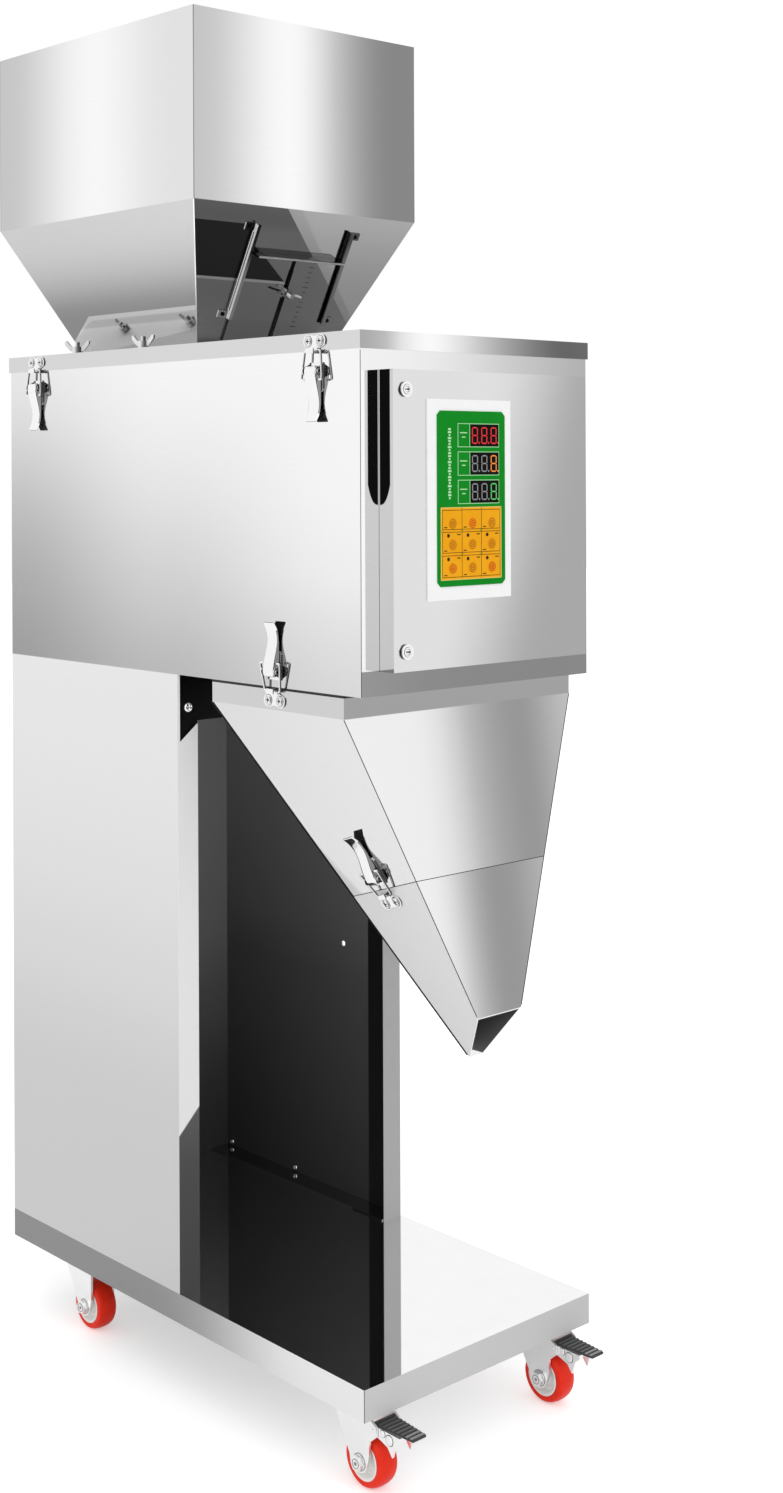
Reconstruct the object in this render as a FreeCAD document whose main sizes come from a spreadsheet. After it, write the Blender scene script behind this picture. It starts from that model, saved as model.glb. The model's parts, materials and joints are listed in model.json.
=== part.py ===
"""Powder filling machine: a stainless cabinet on casters that weighs powder from a hopper.

Millimetres, +Z up, +Y towards the back, origin on the floor under the middle of the machine.
"""
import FreeCAD, Part
import math
import os
import Sketcher
from types import SimpleNamespace
from FreeCAD import Vector

# Driving sizes, one sheet cell each
DRIVING_SIZES = {
    # Cabinet
    "cabinet_width": 300,
    "cabinet_depth": 586,
    "front_setback": 285,
    "sheet_wall": 1.5,
    "base_clearance": 75,
    "base_height": 29.5,
    "column_height": 618.5,
    "box_height": 312.5,
    "lid_height": 16.5,
    "lid_play": 0.2,
    # Column
    "column_front": 276.5,
    "column_flange": 25,
    "foot_flange": 25,
    "flange_chamfer_rise": 18,
    "flange_chamfer_start": 49.5,
    "bracket_height": 48,
    "bracket_depth": 26,
    "bracket_wall": 3,
    "cable_hole_radius": 3,
    "cable_hole_y": 369,
    "cable_hole_z": 388,
    "beam_width": 66,
    "beam_wall": 2,
    # Hopper, its throat and its gate
    "hopper_length": 362,
    "hopper_side_gap": 0.9,
    "hopper_centre_y": 428,
    "hopper_bin_height": 191,
    "hopper_cone_height": 143.5,
    "hopper_side_slope": 0.4317,
    "hopper_end_slope": 0.5405,
    "hopper_wall": 1.2,
    "throat_drop": 77,
    "hopper_flange_margin": 44,
    "hopper_flange_thickness": 2,
    "lid_opening_margin": 14,
    "wing_nut_spacing_x": 252,
    "wing_nut_spacing_y": 123,
    "gate_width": 124,
    "gate_thickness": 1.5,
    "gate_clearance": 0.3,
    "gate_top_drop": 50,
    "gate_bottom_drop": 229,
    "gate_slot_width": 6.4,
    "gate_slot_top": 66,
    "gate_slot_length": 110,
    "gate_stud_drop": 91,
    "gate_stud_radius": 2.5,
    "gate_lip": 13,
    "gate_lip_gap": 2.5,
    "guide_half_spacing": 63,
    "guide_width": 4,
    "guide_top_drop": 19,
    "guide_length": 106,
    "guide_standoff": 5,
    "guide_foot": 12,
    "guide_foot_height": 8,
    # Filling funnel and nozzle
    "funnel_front": 24,
    "funnel_depth": 195,
    "funnel_rim_height": 22,
    "funnel_wall": 1.2,
    "funnel_side_slope": 0.4276,
    "funnel_front_slope": 0.169,
    "funnel_rear_slope": 0.642,
    "joint_front_drop": 151,
    "joint_rear_drop": 183,
    "outlet_front_drop": 283,
    "outlet_rear_drop": 329.5,
    "outlet_overrun": 5,
    "funnel_joint_gap": 0.4,
    "drop_opening_width": 240,
    "drop_opening_front": 40,
    "drop_opening_depth": 165,
    # Door
    "door_width": 256,
    "door_headroom": 18.5,
    "door_lift": 22,
    "door_depth": 19,
    "door_gap": 0.3,
    "door_opening_inset": 6,
    "hinge_radius": 4,
    "hinge_pin_radius": 2,
    "hinge_offset": 4.6,
    "hinge_set_in": 5.2,
    "hinge_end_margin": 10,
    "running_clearance": 0.05,
    "part_gap": 0.3,
    # Control panel
    "bezel_width": 108,
    "bezel_height": 184,
    "bezel_left": 41,
    "bezel_lift": 62,
    "bezel_thickness": 1.5,
    "overlay_width": 88,
    "overlay_height": 161,
    "overlay_left": 11.5,
    "overlay_lift": 12.5,
    "overlay_thickness": 0.8,
    "panel_window_margin": 5,
    "keypad_left": 6,
    "key_pitch_x": 25.5,
    "key_first_x": 12.8,
    "key_radius": 4.6,
    "key_play": 0.08,
    "key_rise": 0.8,
    "key_depth": 4,
    "key_row_low": 16.5,
    "key_row_middle": 38,
    "key_row_high": 57.5,
    "board_thickness": 1.6,
    "board_setback": 4.2,
    "switch_gap": 0.7,
    # Cam locks
    "lock_inset_x": 15,
    "lock_inset_z": 18,
    "lock_head_radius": 7,
    "lock_head_rise": 2.5,
    "lock_barrel_radius": 5.5,
    "lock_tongue_length": 24,
    "lock_tongue_width": 10,
    "lock_tongue_thickness": 2,
    # Draw latches
    "catch_lobe_radius": 6.5,
    "catch_lobe_spacing": 18,
    "catch_lobe_run": 6.5,
    "catch_neck": 11,
    "latch_plate": 1.2,
    "bar_run": 15.2,
    "bar_height": 3.05,
    "bail_wire_radius": 1.25,
    "bail_width": 29,
    "bar_width": 22,
    "hook_lip_gap": 1.9,
    "pivot_run": 34,
    "pivot_height": 6.6,
    "pivot_radius": 1.5,
    "latch_throw": 8,
    "over_centre": 0.4,
    "lever_half_width": 8.4,
    "lever_length": 46,
    "lever_waist": 8,
    "lever_tip": 8.2,
    "base_plate_length": 26,
    "front_latch_y": 60,
    "rear_latch_y": 530,
    "lid_latch_inset": 1,
    "funnel_latch_y": 122,
    "funnel_latch_inset": 3,
    "nozzle_latch_y": 42.4,
    "nozzle_latch_below_joint": 23,
    "nozzle_latch_turn": 19,
    # Casters
    "wheel_radius": 26,
    "wheel_width": 22,
    "hub_radius": 19,
    "axle_radius": 4,
    "caster_inset_x": 31,
    "front_caster_y": 42,
    "rear_caster_y": 489,
    "caster_trail": 17,
    "plate_length": 62,
    "plate_width": 48,
    "plate_thickness": 2.5,
    "raceway_radius": 18,
    "raceway_height": 4,
    "king_pin_radius": 4,
    "fork_plate": 2.5,
    "fork_side_gap": 1.5,
    "axle_nut": 5,
    "pedal_reach": 82,
    "pedal_pivot_forward": 35,
    "pedal_pivot_height": 61,
    "pedal_half_back": 12,
    "pedal_half_tip": 8,
    # Weighing and feeding works inside the box
    "bucket_width": 110,
    "bucket_front": 60,
    "bucket_depth": 120,
    "bucket_lift": 77,
    "bucket_height": 100,
    "bucket_taper": 15,
    "bucket_wall": 1.2,
    "load_cell_length": 130,
    "load_cell_width": 30,
    "load_cell_height": 22,
    "load_cell_gap": 4,
    "tray_width": 128,
    "tray_front": 115,
    "tray_length": 400,
    "tray_side": 40,
    "tray_gap": 23,
    "drive_width": 100,
    "drive_front": 375,
    "drive_length": 110,
    "drive_foot": 16,
    "drive_block": 60,
    "coil_height": 56,
    "spring_leaf": 2,
    "spring_play": 0.7,
}

# Corners of a nut
HEX_SIDES = 6

doc = FreeCAD.newDocument("PowderFillingMachine")


class Size:
    """A length that carries its number and the sheet expression that gives it."""

    def __init__(self, number, text):
        self.number = float(number)
        self.text = text

    def __add__(self, other):
        return Size(self.number + number_of(other), "(%s + %s)" % (self.text, text_of(other)))

    def __radd__(self, other):
        return Size(number_of(other) + self.number, "(%s + %s)" % (text_of(other), self.text))

    def __sub__(self, other):
        return Size(self.number - number_of(other), "(%s - %s)" % (self.text, text_of(other)))

    def __rsub__(self, other):
        return Size(number_of(other) - self.number, "(%s - %s)" % (text_of(other), self.text))

    def __mul__(self, other):
        return Size(self.number * number_of(other), "(%s * %s)" % (self.text, text_of(other)))

    __rmul__ = __mul__

    def __truediv__(self, other):
        return Size(self.number / number_of(other), "(%s / %s)" % (self.text, text_of(other)))

    def __neg__(self):
        return Size(-self.number, "(0 - %s)" % self.text)


def number_of(value):
    """The plain number of a Size or a number."""
    return value.number if isinstance(value, Size) else float(value)


def text_of(value):
    """The expression text of a Size or a number."""
    return value.text if isinstance(value, Size) else "%.9g" % value


def write_sheet():
    """Put each driving size in a cell of its own and name the cell."""
    sheet = doc.addObject("Spreadsheet::Sheet", "Sizes")
    for row, (name, value) in enumerate(DRIVING_SIZES.items(), start=1):
        sheet.set("A%d" % row, name)
        sheet.set("B%d" % row, str(value))
        sheet.setAlias("B%d" % row, name)
    doc.recompute()
    return SimpleNamespace(**{name: Size(value, "Sizes." + name) for name, value in DRIVING_SIZES.items()})


size = write_sheet()

# Levels and faces that several pieces share
half_width = size.cabinet_width / 2
front = -size.front_setback
back = front + size.cabinet_depth
deck_top = size.base_clearance + size.base_height
box_bottom = deck_top + size.column_height
box_rim = box_bottom + size.box_height
lid_top = box_rim + size.lid_height
lid_underside = lid_top - size.sheet_wall
cone_top = lid_top + size.hopper_cone_height
hopper_top = cone_top + size.hopper_bin_height
lid_reach = size.lid_play + size.sheet_wall
door_bottom = box_bottom + size.door_lift
door_height = size.box_height - size.door_lift - size.door_headroom
door_front = front - size.door_depth
door_left = -size.door_width / 2

ORIGIN_PLANES = {"XY": "XY_Plane", "XZ": "XZ_Plane", "YZ": "YZ_Plane"}


def new_body(label):
    """An empty body whose label is the piece's name."""
    body = doc.addObject("PartDesign::Body", label)
    body.Label = label
    return body


def rectangle(left, low, right, high):
    """Corner points of a rectangle, in order."""
    return [(left, low), (right, low), (right, high), (left, high)]


def circle(across, along, radius):
    """A circle as a loop for a sketch."""
    return ("circle", across, along, radius)


def mirrored(points):
    """The same outline on the other side of the sketch's vertical axis."""
    return [(-across, along) for across, along in points]


def draw_outline(sketch, points):
    """Draw a closed outline and tie each corner to the sheet."""
    first = sketch.GeometryCount
    corners = [Vector(number_of(across), number_of(along), 0) for across, along in points]
    count = len(corners)
    for index, corner in enumerate(corners):
        sketch.addGeometry(Part.LineSegment(corner, corners[(index + 1) % count]), False)
    for index in range(count):
        following = first + (index + 1) % count
        sketch.addConstraint(Sketcher.Constraint("Coincident", first + index, 2, following, 1))
    for index, (across, along) in enumerate(points):
        tie_point(sketch, first + index, 1, across, along)


def draw_circle(sketch, across, along, radius):
    """Draw a circle with its centre and radius tied to the sheet."""
    centre = Vector(number_of(across), number_of(along), 0)
    index = sketch.addGeometry(Part.Circle(centre, Vector(0, 0, 1), number_of(radius)), False)
    tie_point(sketch, index, 3, across, along)
    tied = sketch.addConstraint(Sketcher.Constraint("Radius", index, number_of(radius)))
    sketch.setExpression("Constraints[%d]" % tied, text_of(radius))


def tie_point(sketch, index, end, across, along):
    """Fix one point of a sketch at a place given by the sheet."""
    for kind, value in (("DistanceX", across), ("DistanceY", along)):
        tied = sketch.addConstraint(Sketcher.Constraint(kind, -1, 1, index, end, number_of(value)))
        sketch.setExpression("Constraints[%d]" % tied, text_of(value))


def new_sketch(body, plane, start, loops):
    """A sketch on one of the body's origin planes, moved along the world axis to start."""
    sketch = body.newObject("Sketcher::SketchObject", "Sketch")
    role = ORIGIN_PLANES[plane]
    support = [item for item in body.Origin.OriginFeatures if item.Role == role][0]
    sketch.AttachmentSupport = (support, [""])
    sketch.MapMode = "FlatFace"
    offset = -start if plane == "XZ" else start
    sketch.setExpression("AttachmentOffset.Base.z", text_of(offset))
    for loop in loops:
        if loop[0] == "circle":
            draw_circle(sketch, *loop[1:])
        else:
            draw_outline(sketch, loop)
    return sketch


def extrude(body, plane, start, length, *loops):
    """Add material from start towards the positive world axis."""
    pad = body.newObject("PartDesign::Pad", "Pad")
    pad.Profile = new_sketch(body, plane, start, loops)
    pad.setExpression("Length", text_of(length))
    pad.Reversed = plane == "XZ"
    return pad


def cut(body, plane, start, length, *loops):
    """Remove material from start towards the positive world axis."""
    pocket = body.newObject("PartDesign::Pocket", "Pocket")
    pocket.Profile = new_sketch(body, plane, start, loops)
    pocket.setExpression("Length", text_of(length))
    pocket.Reversed = plane != "XZ"
    return pocket


def trim_to(body, plane, outline):
    """Keep only what lies inside an outline, seen along the plane's normal."""
    reach = 3000
    return cut(body, plane, -reach / 2, reach, rectangle(-reach, -reach, reach, reach), outline)


def spin(body, plane, outline):
    """Turn an outline about the sketch's horizontal axis."""
    revolution = body.newObject("PartDesign::Revolution", "Revolution")
    sketch = new_sketch(body, plane, 0, [outline])
    revolution.Profile = sketch
    revolution.ReferenceAxis = (sketch, ["H_Axis"])
    revolution.Angle = 360
    return revolution


def shell_out(body, wall, is_open):
    """Hollow the body to a wall, leaving the chosen faces open."""
    doc.recompute()
    solid = body.Tip
    names = ["Face%d" % (index + 1) for index, face in enumerate(solid.Shape.Faces) if is_open(face)]
    shell = body.newObject("PartDesign::Thickness", "Shell")
    shell.Base = (solid, names)
    shell.setExpression("Value", text_of(wall))
    shell.Reversed = True
    shell.Mode = 0
    shell.Join = 1
    return shell


def place(piece, origin, rotation=None):
    """Put a finished piece at a point that follows the sheet."""
    turn = rotation or FreeCAD.Rotation()
    point = Vector(*[number_of(value) for value in origin])
    piece.Placement = FreeCAD.Placement(point, turn)
    for axis, value in zip("xyz", origin):
        piece.setExpression("Placement.Base.%s" % axis, text_of(value))


def group(label, pieces):
    """One node made of several separate solids."""
    bundle = doc.addObject("Part::Compound", label)
    bundle.Label = label
    bundle.Links = pieces
    return bundle


def hexagon(across, along, radius):
    """Corner points of a hexagon round a centre."""
    steps = [math.radians(360 * index / HEX_SIDES) for index in range(HEX_SIDES)]
    return [(across + radius * math.cos(step), along + radius * math.sin(step)) for step in steps]


# Base and column


def make_base_tray():
    """Folded tray with two box beams welded under its deck for the casters."""
    tray = new_body("base_sheet")
    footprint = rectangle(-half_width, front, half_width, back)
    extrude(tray, "XY", size.base_clearance, size.base_height, footprint)
    wall = size.sheet_wall
    inside = rectangle(-half_width + wall, front + wall, half_width - wall, back - wall)
    cut(tray, "XY", size.base_clearance, size.base_height - wall, inside)
    beams = []
    for name, centre in (("front_beam", size.front_caster_y), ("rear_beam", size.rear_caster_y)):
        beam = new_body(name)
        middle = front + centre
        low = size.base_clearance + size.plate_thickness + size.part_gap
        high = deck_top - wall
        near = middle - size.beam_width / 2
        far = middle + size.beam_width / 2
        thick = size.beam_wall
        outside = rectangle(near, low, far, high)
        hollow = rectangle(near + thick, low + thick, far - thick, high - thick)
        extrude(beam, "YZ", -half_width + wall, size.cabinet_width - 2 * wall, outside, hollow)
        beams.append(beam)
    return group("base_tray", [tray] + beams)


def make_column_shell():
    """Open channel: back, two sides, two front flanges and two foot flanges."""
    body = new_body("column_shell")
    wall = size.sheet_wall
    near = front + size.column_front
    flange = half_width - size.column_flange
    section = [
        (-flange, near), (-half_width, near), (-half_width, back), (half_width, back),
        (half_width, near), (flange, near), (flange, near + wall), (half_width - wall, near + wall),
        (half_width - wall, back - wall), (-half_width + wall, back - wall),
        (-half_width + wall, near + wall), (-flange, near + wall),
    ]
    extrude(body, "XY", deck_top, size.column_height, section)
    inner = half_width - wall
    foot = rectangle(inner - size.foot_flange, near + wall, inner, back - wall)
    extrude(body, "XY", deck_top, wall, foot)
    extrude(body, "XY", deck_top, wall, mirrored(foot))
    edge_top = box_bottom - size.flange_chamfer_start
    corner = half_width - 2 * wall
    chamfer = [
        (flange - 1, edge_top), (corner, edge_top - size.flange_chamfer_rise),
        (corner, box_bottom), (flange - 1, box_bottom),
    ]
    cut(body, "XZ", near - 1, wall + 1, chamfer)
    cut(body, "XZ", near - 1, wall + 1, mirrored(chamfer))
    hole = circle(front + size.cable_hole_y, size.cable_hole_z, size.cable_hole_radius)
    cut(body, "YZ", 0, half_width, hole)
    return body


def make_column_bracket():
    """Channel across the open top of the column, under the box."""
    body = new_body("column_bracket")
    near = front + size.column_front + size.sheet_wall
    low = box_bottom - size.bracket_height
    thick = size.bracket_wall
    far = near + size.bracket_depth
    section = [
        (near, low), (far, low), (far, low + thick), (near + thick, low + thick),
        (near + thick, box_bottom - thick), (far, box_bottom - thick), (far, box_bottom), (near, box_bottom),
    ]
    span = half_width - size.sheet_wall
    extrude(body, "YZ", -span, 2 * span, section)
    return body


# Box and lid


def make_main_box():
    """Welded box with a door opening in front and a drop opening in its floor."""
    body = new_body("main_box")
    wall = size.sheet_wall
    footprint = rectangle(-half_width, front, half_width, back)
    extrude(body, "XY", box_bottom, lid_underside - box_bottom, footprint)
    inside = rectangle(-half_width + wall, front + wall, half_width - wall, back - wall)
    cut(body, "XY", box_bottom + wall, size.box_height + size.lid_height, inside)
    inset = size.door_opening_inset
    door_way = rectangle(
        door_left + inset, door_bottom + inset, -door_left - inset, door_bottom + door_height - inset)
    cut(body, "XZ", front - 1, wall + 2, door_way)
    near = front + size.drop_opening_front
    half = size.drop_opening_width / 2
    cut(body, "XY", box_bottom - 1, wall + 2, rectangle(-half, near, half, near + size.drop_opening_depth))
    return body


def hopper_outline_at(drop):
    """Half width, front and back of the hopper's outside at a drop below its cone top."""
    half = half_width - size.hopper_side_gap - size.hopper_side_slope * drop
    middle = front + size.hopper_centre_y
    reach = size.hopper_length / 2 - size.hopper_end_slope * drop
    return half, middle - reach, middle + reach


def make_box_lid():
    """Lift-off lid with a turned-down skirt and an opening for the hopper throat."""
    body = new_body("box_lid")
    wall = size.sheet_wall
    outside = rectangle(-half_width - lid_reach, front - lid_reach, half_width + lid_reach, back + lid_reach)
    extrude(body, "XY", box_rim, size.lid_height, outside)
    play = size.lid_play
    inside = rectangle(-half_width - play, front - play, half_width + play, back + play)
    cut(body, "XY", box_rim, size.lid_height - wall, inside)
    half, near, far = hopper_outline_at(size.hopper_cone_height)
    margin = size.lid_opening_margin
    cut(body, "XY", lid_underside - 1, wall + 2, rectangle(-half - 1, near - margin, half + 1, far + 1))
    return body


def make_hopper_solid(label, inset, extra):
    """Solid of the bin and cone, drawn in by an inset and longer at both ends by extra."""
    body = new_body(label)
    drop = size.hopper_cone_height + size.throat_drop + extra
    top_half, top_near, top_far = hopper_outline_at(0)
    low_half, low_near, low_far = hopper_outline_at(drop)
    low = cone_top - drop
    high = hopper_top + extra
    extrude(body, "XZ", top_near - 1, size.hopper_length + 2, [
        (-low_half + inset, low), (low_half - inset, low), (top_half - inset, cone_top),
        (top_half - inset, high), (-top_half + inset, high), (-top_half + inset, cone_top),
    ])
    trim_to(body, "YZ", [
        (low_near + inset, low), (low_far - inset, low), (top_far - inset, cone_top),
        (top_far - inset, high), (top_near + inset, high), (top_near + inset, cone_top),
    ])
    return body


def make_hopper_bin():
    """Square bin over a four-sided cone, with its clamping flange and throat."""
    outside = make_hopper_solid("hopper_outside", 0, 0)
    inside = make_hopper_solid("hopper_inside", size.hopper_wall, 1)
    throat = lid_top - size.throat_drop
    low_half, low_near, _ = hopper_outline_at(size.hopper_cone_height + size.throat_drop)
    window = new_body("hopper_window")
    side_post = 8
    extrude(window, "XZ", low_near - size.throat_drop, size.throat_drop + 5, rectangle(
        -low_half + side_post, throat - 1, low_half - side_post, throat + size.throat_drop / 2))
    hollow = doc.addObject("Part::MultiFuse", "hopper_hollow")
    hollow.Shapes = [inside, window]
    shell = doc.addObject("Part::Cut", "hopper_shell")
    shell.Base = outside
    shell.Tool = hollow
    flange = new_body("hopper_flange")
    half, near, far = hopper_outline_at(size.hopper_cone_height)
    margin = size.hopper_flange_margin
    bite = 0.1
    edge = rectangle(-half - margin, near - margin, half + margin, far + margin)
    opening = rectangle(-half + bite, near - size.lid_opening_margin + 1, half - bite, far - bite)
    extrude(flange, "XY", lid_top, size.hopper_flange_thickness, edge, opening)
    hopper = doc.addObject("Part::MultiFuse", "hopper_bin")
    hopper.Label = "hopper_bin"
    hopper.Shapes = [shell, flange]
    return hopper


def incline_frame():
    """Placement on the hopper's sloping front: x across, y down the slope, z out of the wall."""
    slope = number_of(size.hopper_end_slope)
    run = math.hypot(1, slope)
    down = Vector(0, slope / run, -1 / run)
    out = Vector(0, -1 / run, -slope / run)
    across = down.cross(out)
    return FreeCAD.Rotation(across, down, out, "ZXY")


def place_on_incline(piece):
    """Put a piece drawn on the slope's own axes in its place."""
    place(piece, (Size(0, "0"), hopper_outline_at(0)[1], cone_top), incline_frame())


def make_gate_plate():
    """Sliding plate that sets how much powder leaves the hopper, with a bent handle lip."""
    body = new_body("gate_plate")
    low = size.gate_clearance
    thick = size.gate_thickness
    half = size.gate_width / 2
    slot_half = size.gate_slot_width / 2
    slot_low = size.gate_slot_top + size.gate_slot_length
    plate = rectangle(-half, size.gate_top_drop, half, size.gate_bottom_drop)
    slot = rectangle(-slot_half, size.gate_slot_top, slot_half, slot_low)
    extrude(body, "XY", low, thick, plate, slot)
    lip_half = size.guide_half_spacing - size.guide_width / 2 - size.gate_lip_gap
    lip = rectangle(-lip_half, size.gate_top_drop, lip_half, size.gate_top_drop + thick)
    extrude(body, "XY", low, size.gate_lip, lip)
    place_on_incline(body)
    return body


def make_guide(side):
    """Strip that stands off the hopper wall on two feet and keeps the gate plate straight."""
    body = new_body("gate_guide_%s" % ("left" if side < 0 else "right"))
    half = size.guide_width / 2
    centre = side * size.guide_half_spacing
    top = size.guide_top_drop
    low = top + size.guide_length
    thick = size.gate_thickness
    foot = size.guide_foot
    extrude(body, "XY", size.guide_standoff, thick, rectangle(centre - half, top, centre + half, low))
    outer = centre + side * (half + foot)
    edge = centre + side * half
    inner = centre + side * (half - thick)
    tall = size.guide_foot_height
    for start in (top, low - tall):
        web = rectangle(min_of(edge, inner), start, max_of(edge, inner), start + tall)
        extrude(body, "XY", 0, size.guide_standoff, web)
        pad = rectangle(min_of(inner, outer), start, max_of(inner, outer), start + tall)
        extrude(body, "XY", 0, thick, pad)
    place_on_incline(body)
    return body


def min_of(one, other):
    """The smaller of two sizes, as a size."""
    return one if number_of(one) < number_of(other) else other


def max_of(one, other):
    """The larger of two sizes, as a size."""
    return other if number_of(one) < number_of(other) else one


def make_gate_stud():
    """Threaded stud welded to the hopper wall, which comes out through the plate's slot."""
    body = new_body("gate_stud")
    extrude(body, "XY", 0, 16, circle(0, size.gate_stud_drop, size.gate_stud_radius))
    place_on_incline(body)
    return body


def draw_wing_nut(body, centre_y, low, bore):
    """Round boss with two raised wings, drawn about an upright axis."""
    boss = 5.5
    height = 7
    extrude(body, "XY", low, height, circle(0, centre_y, boss), circle(0, centre_y, bore))
    wing = [
        (4.6, low + 1.5), (9, low + 3), (15, low + 9.5), (15.5, low + 13), (13, low + 13.5),
        (8, low + 8), (4.6, low + 6.5),
    ]
    extrude(body, "XZ", centre_y - 1.2, 2.4, wing)
    extrude(body, "XZ", centre_y - 1.2, 2.4, mirrored(wing))


def make_gate_wing_nut():
    """Wing nut that clamps the gate plate at its setting."""
    body = new_body("gate_wing_nut")
    low = size.gate_clearance + size.gate_thickness + size.part_gap
    draw_wing_nut(body, size.gate_stud_drop, low, size.gate_stud_radius + size.running_clearance)
    place_on_incline(body)
    return body


def make_hopper_fittings():
    """Guides and stud of the gate, and the studs with wing nuts that hold the hopper down."""
    pieces = [make_guide(-1), make_guide(1), make_gate_stud()]
    floor = lid_top + size.hopper_flange_thickness
    middle = front + size.hopper_centre_y
    for index, (side, end) in enumerate(((-1, -1), (-1, 1), (1, -1), (1, 1)), start=1):
        nut = new_body("hopper_clamp_%d" % index)
        draw_wing_nut(nut, Size(0, "0"), Size(0, "0"), 2.5)
        extrude(nut, "XY", 0, 12, circle(0, 0, 2.6))
        quarter = FreeCAD.Rotation(Vector(0, 0, 1), 90 + 12 * index)
        spot = (side * size.wing_nut_spacing_x / 2, middle + end * size.wing_nut_spacing_y / 2, floor)
        place(nut, spot, quarter)
        pieces.append(nut)
    return group("hopper_fittings", pieces)


# Funnel and nozzle


def funnel_half_at(drop):
    """Half width of the funnel at a drop below its rim."""
    return half_width - size.funnel_side_slope * drop


def funnel_front_at(drop):
    """Front face of the funnel at a drop below its rim."""
    return front + size.funnel_front - size.funnel_front_slope * drop


def funnel_back_at(drop):
    """Back face of the funnel at a drop below its rim."""
    return front + size.funnel_front + size.funnel_depth - size.funnel_rear_slope * drop


def make_funnel_core(label):
    """Solid of the funnel's hollow, from above its rim to below its outlet."""
    body = new_body(label)
    wall = size.funnel_wall
    rim_low = box_bottom - size.funnel_rim_height
    deepest = size.outlet_rear_drop + size.outlet_overrun
    low = rim_low - deepest
    high = box_bottom + 1
    side = half_width - wall
    tip = funnel_half_at(deepest) - wall
    near = front + size.funnel_front + wall
    far = near + size.funnel_depth - 2 * wall
    extrude(body, "XZ", near - size.cabinet_depth / 2, size.cabinet_depth, [
        (-side, high), (-side, rim_low), (-tip, low), (tip, low), (side, rim_low), (side, high)])
    trim_to(body, "YZ", [
        (near, high), (near, rim_low), (funnel_front_at(deepest) + wall, low),
        (funnel_back_at(deepest) - wall, low), (far, rim_low), (far, high),
    ])
    return body


def make_funnel_piece(label, across, outline):
    """One thin-walled piece of the funnel, from its front view and its side view."""
    outside = new_body(label + "_outside")
    extrude(outside, "XZ", front - size.cabinet_depth / 2, size.cabinet_depth, across)
    trim_to(outside, "YZ", outline)
    piece = doc.addObject("Part::Cut", label)
    piece.Label = label
    piece.Base = outside
    piece.Tool = make_funnel_core(label + "_core")
    return piece


def funnel_joint(gap):
    """Front and back end of the slanting joint, or of the nozzle's top a gap below it."""
    rim_low = box_bottom - size.funnel_rim_height
    front_drop = size.joint_front_drop + gap
    rear_drop = size.joint_rear_drop + gap
    near = (funnel_front_at(front_drop), rim_low - front_drop)
    far = (funnel_back_at(rear_drop), rim_low - rear_drop)
    return near, far


def make_funnel_upper():
    """Rim and upper part of the filling funnel, down to the slanting joint."""
    rim_low = box_bottom - size.funnel_rim_height
    near = front + size.funnel_front
    far = near + size.funnel_depth
    deepest = size.joint_rear_drop
    tip = funnel_half_at(deepest)
    joint_near, joint_far = funnel_joint(0)
    across = [
        (-half_width, box_bottom), (-half_width, rim_low), (-tip, rim_low - deepest),
        (tip, rim_low - deepest), (half_width, rim_low), (half_width, box_bottom),
    ]
    outline = [(near, box_bottom), (near, rim_low), joint_near, joint_far, (far, rim_low), (far, box_bottom)]
    return make_funnel_piece("funnel_upper", across, outline)


def make_funnel_nozzle():
    """Lower part of the funnel, from the slanting joint to the slanting outlet."""
    rim_low = box_bottom - size.funnel_rim_height
    top = size.joint_front_drop
    deepest = size.outlet_rear_drop
    wide = funnel_half_at(top)
    tip = funnel_half_at(deepest)
    joint_near, joint_far = funnel_joint(size.funnel_joint_gap)
    across = [
        (-wide, rim_low - top), (-tip, rim_low - deepest), (tip, rim_low - deepest), (wide, rim_low - top),
    ]
    outlet_near = (funnel_front_at(size.outlet_front_drop), rim_low - size.outlet_front_drop)
    outlet_far = (funnel_back_at(size.outlet_rear_drop), rim_low - size.outlet_rear_drop)
    outline = [joint_near, outlet_near, outlet_far, joint_far]
    return make_funnel_piece("funnel_nozzle", across, outline)


# Door, hinge, locks and control panel


def bezel_corner():
    """Left and bottom of the white plate on the door."""
    return door_left + size.bezel_left, door_bottom + size.bezel_lift


def overlay_corner():
    """Left and bottom of the keypad sheet on the white plate."""
    left, low = bezel_corner()
    return left + size.overlay_left, low + size.overlay_lift


def key_centres():
    """Middle of each of the nine keys, row by row from the top."""
    left, low = overlay_corner()
    rows = (size.key_row_high, size.key_row_middle, size.key_row_low)
    columns = [left + size.keypad_left + size.key_first_x + step * size.key_pitch_x for step in range(3)]
    return [(column, low + row) for row in rows for column in columns]


def lock_centres():
    """Name, place and way the unlocked tongue points, for the two cam locks."""
    across = door_left + size.lock_inset_x
    low = door_bottom + size.lock_inset_z
    high = door_bottom + door_height - size.lock_inset_z
    return [("upper", across, high, -1), ("lower", across, low, 1)]


def hinge_axis():
    """Upright line that the door turns about."""
    return -door_left + size.hinge_offset, front - size.hinge_set_in


def knuckle_spans():
    """Alternate heights of the hinge's knuckles: three on the box, two on the door."""
    low = door_bottom + size.hinge_end_margin
    span = (door_height - 2 * size.hinge_end_margin) / 5
    gap = size.part_gap
    spans = [(low + step * span, span - gap) for step in range(5)]
    return spans[0::2], spans[1::2]


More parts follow.
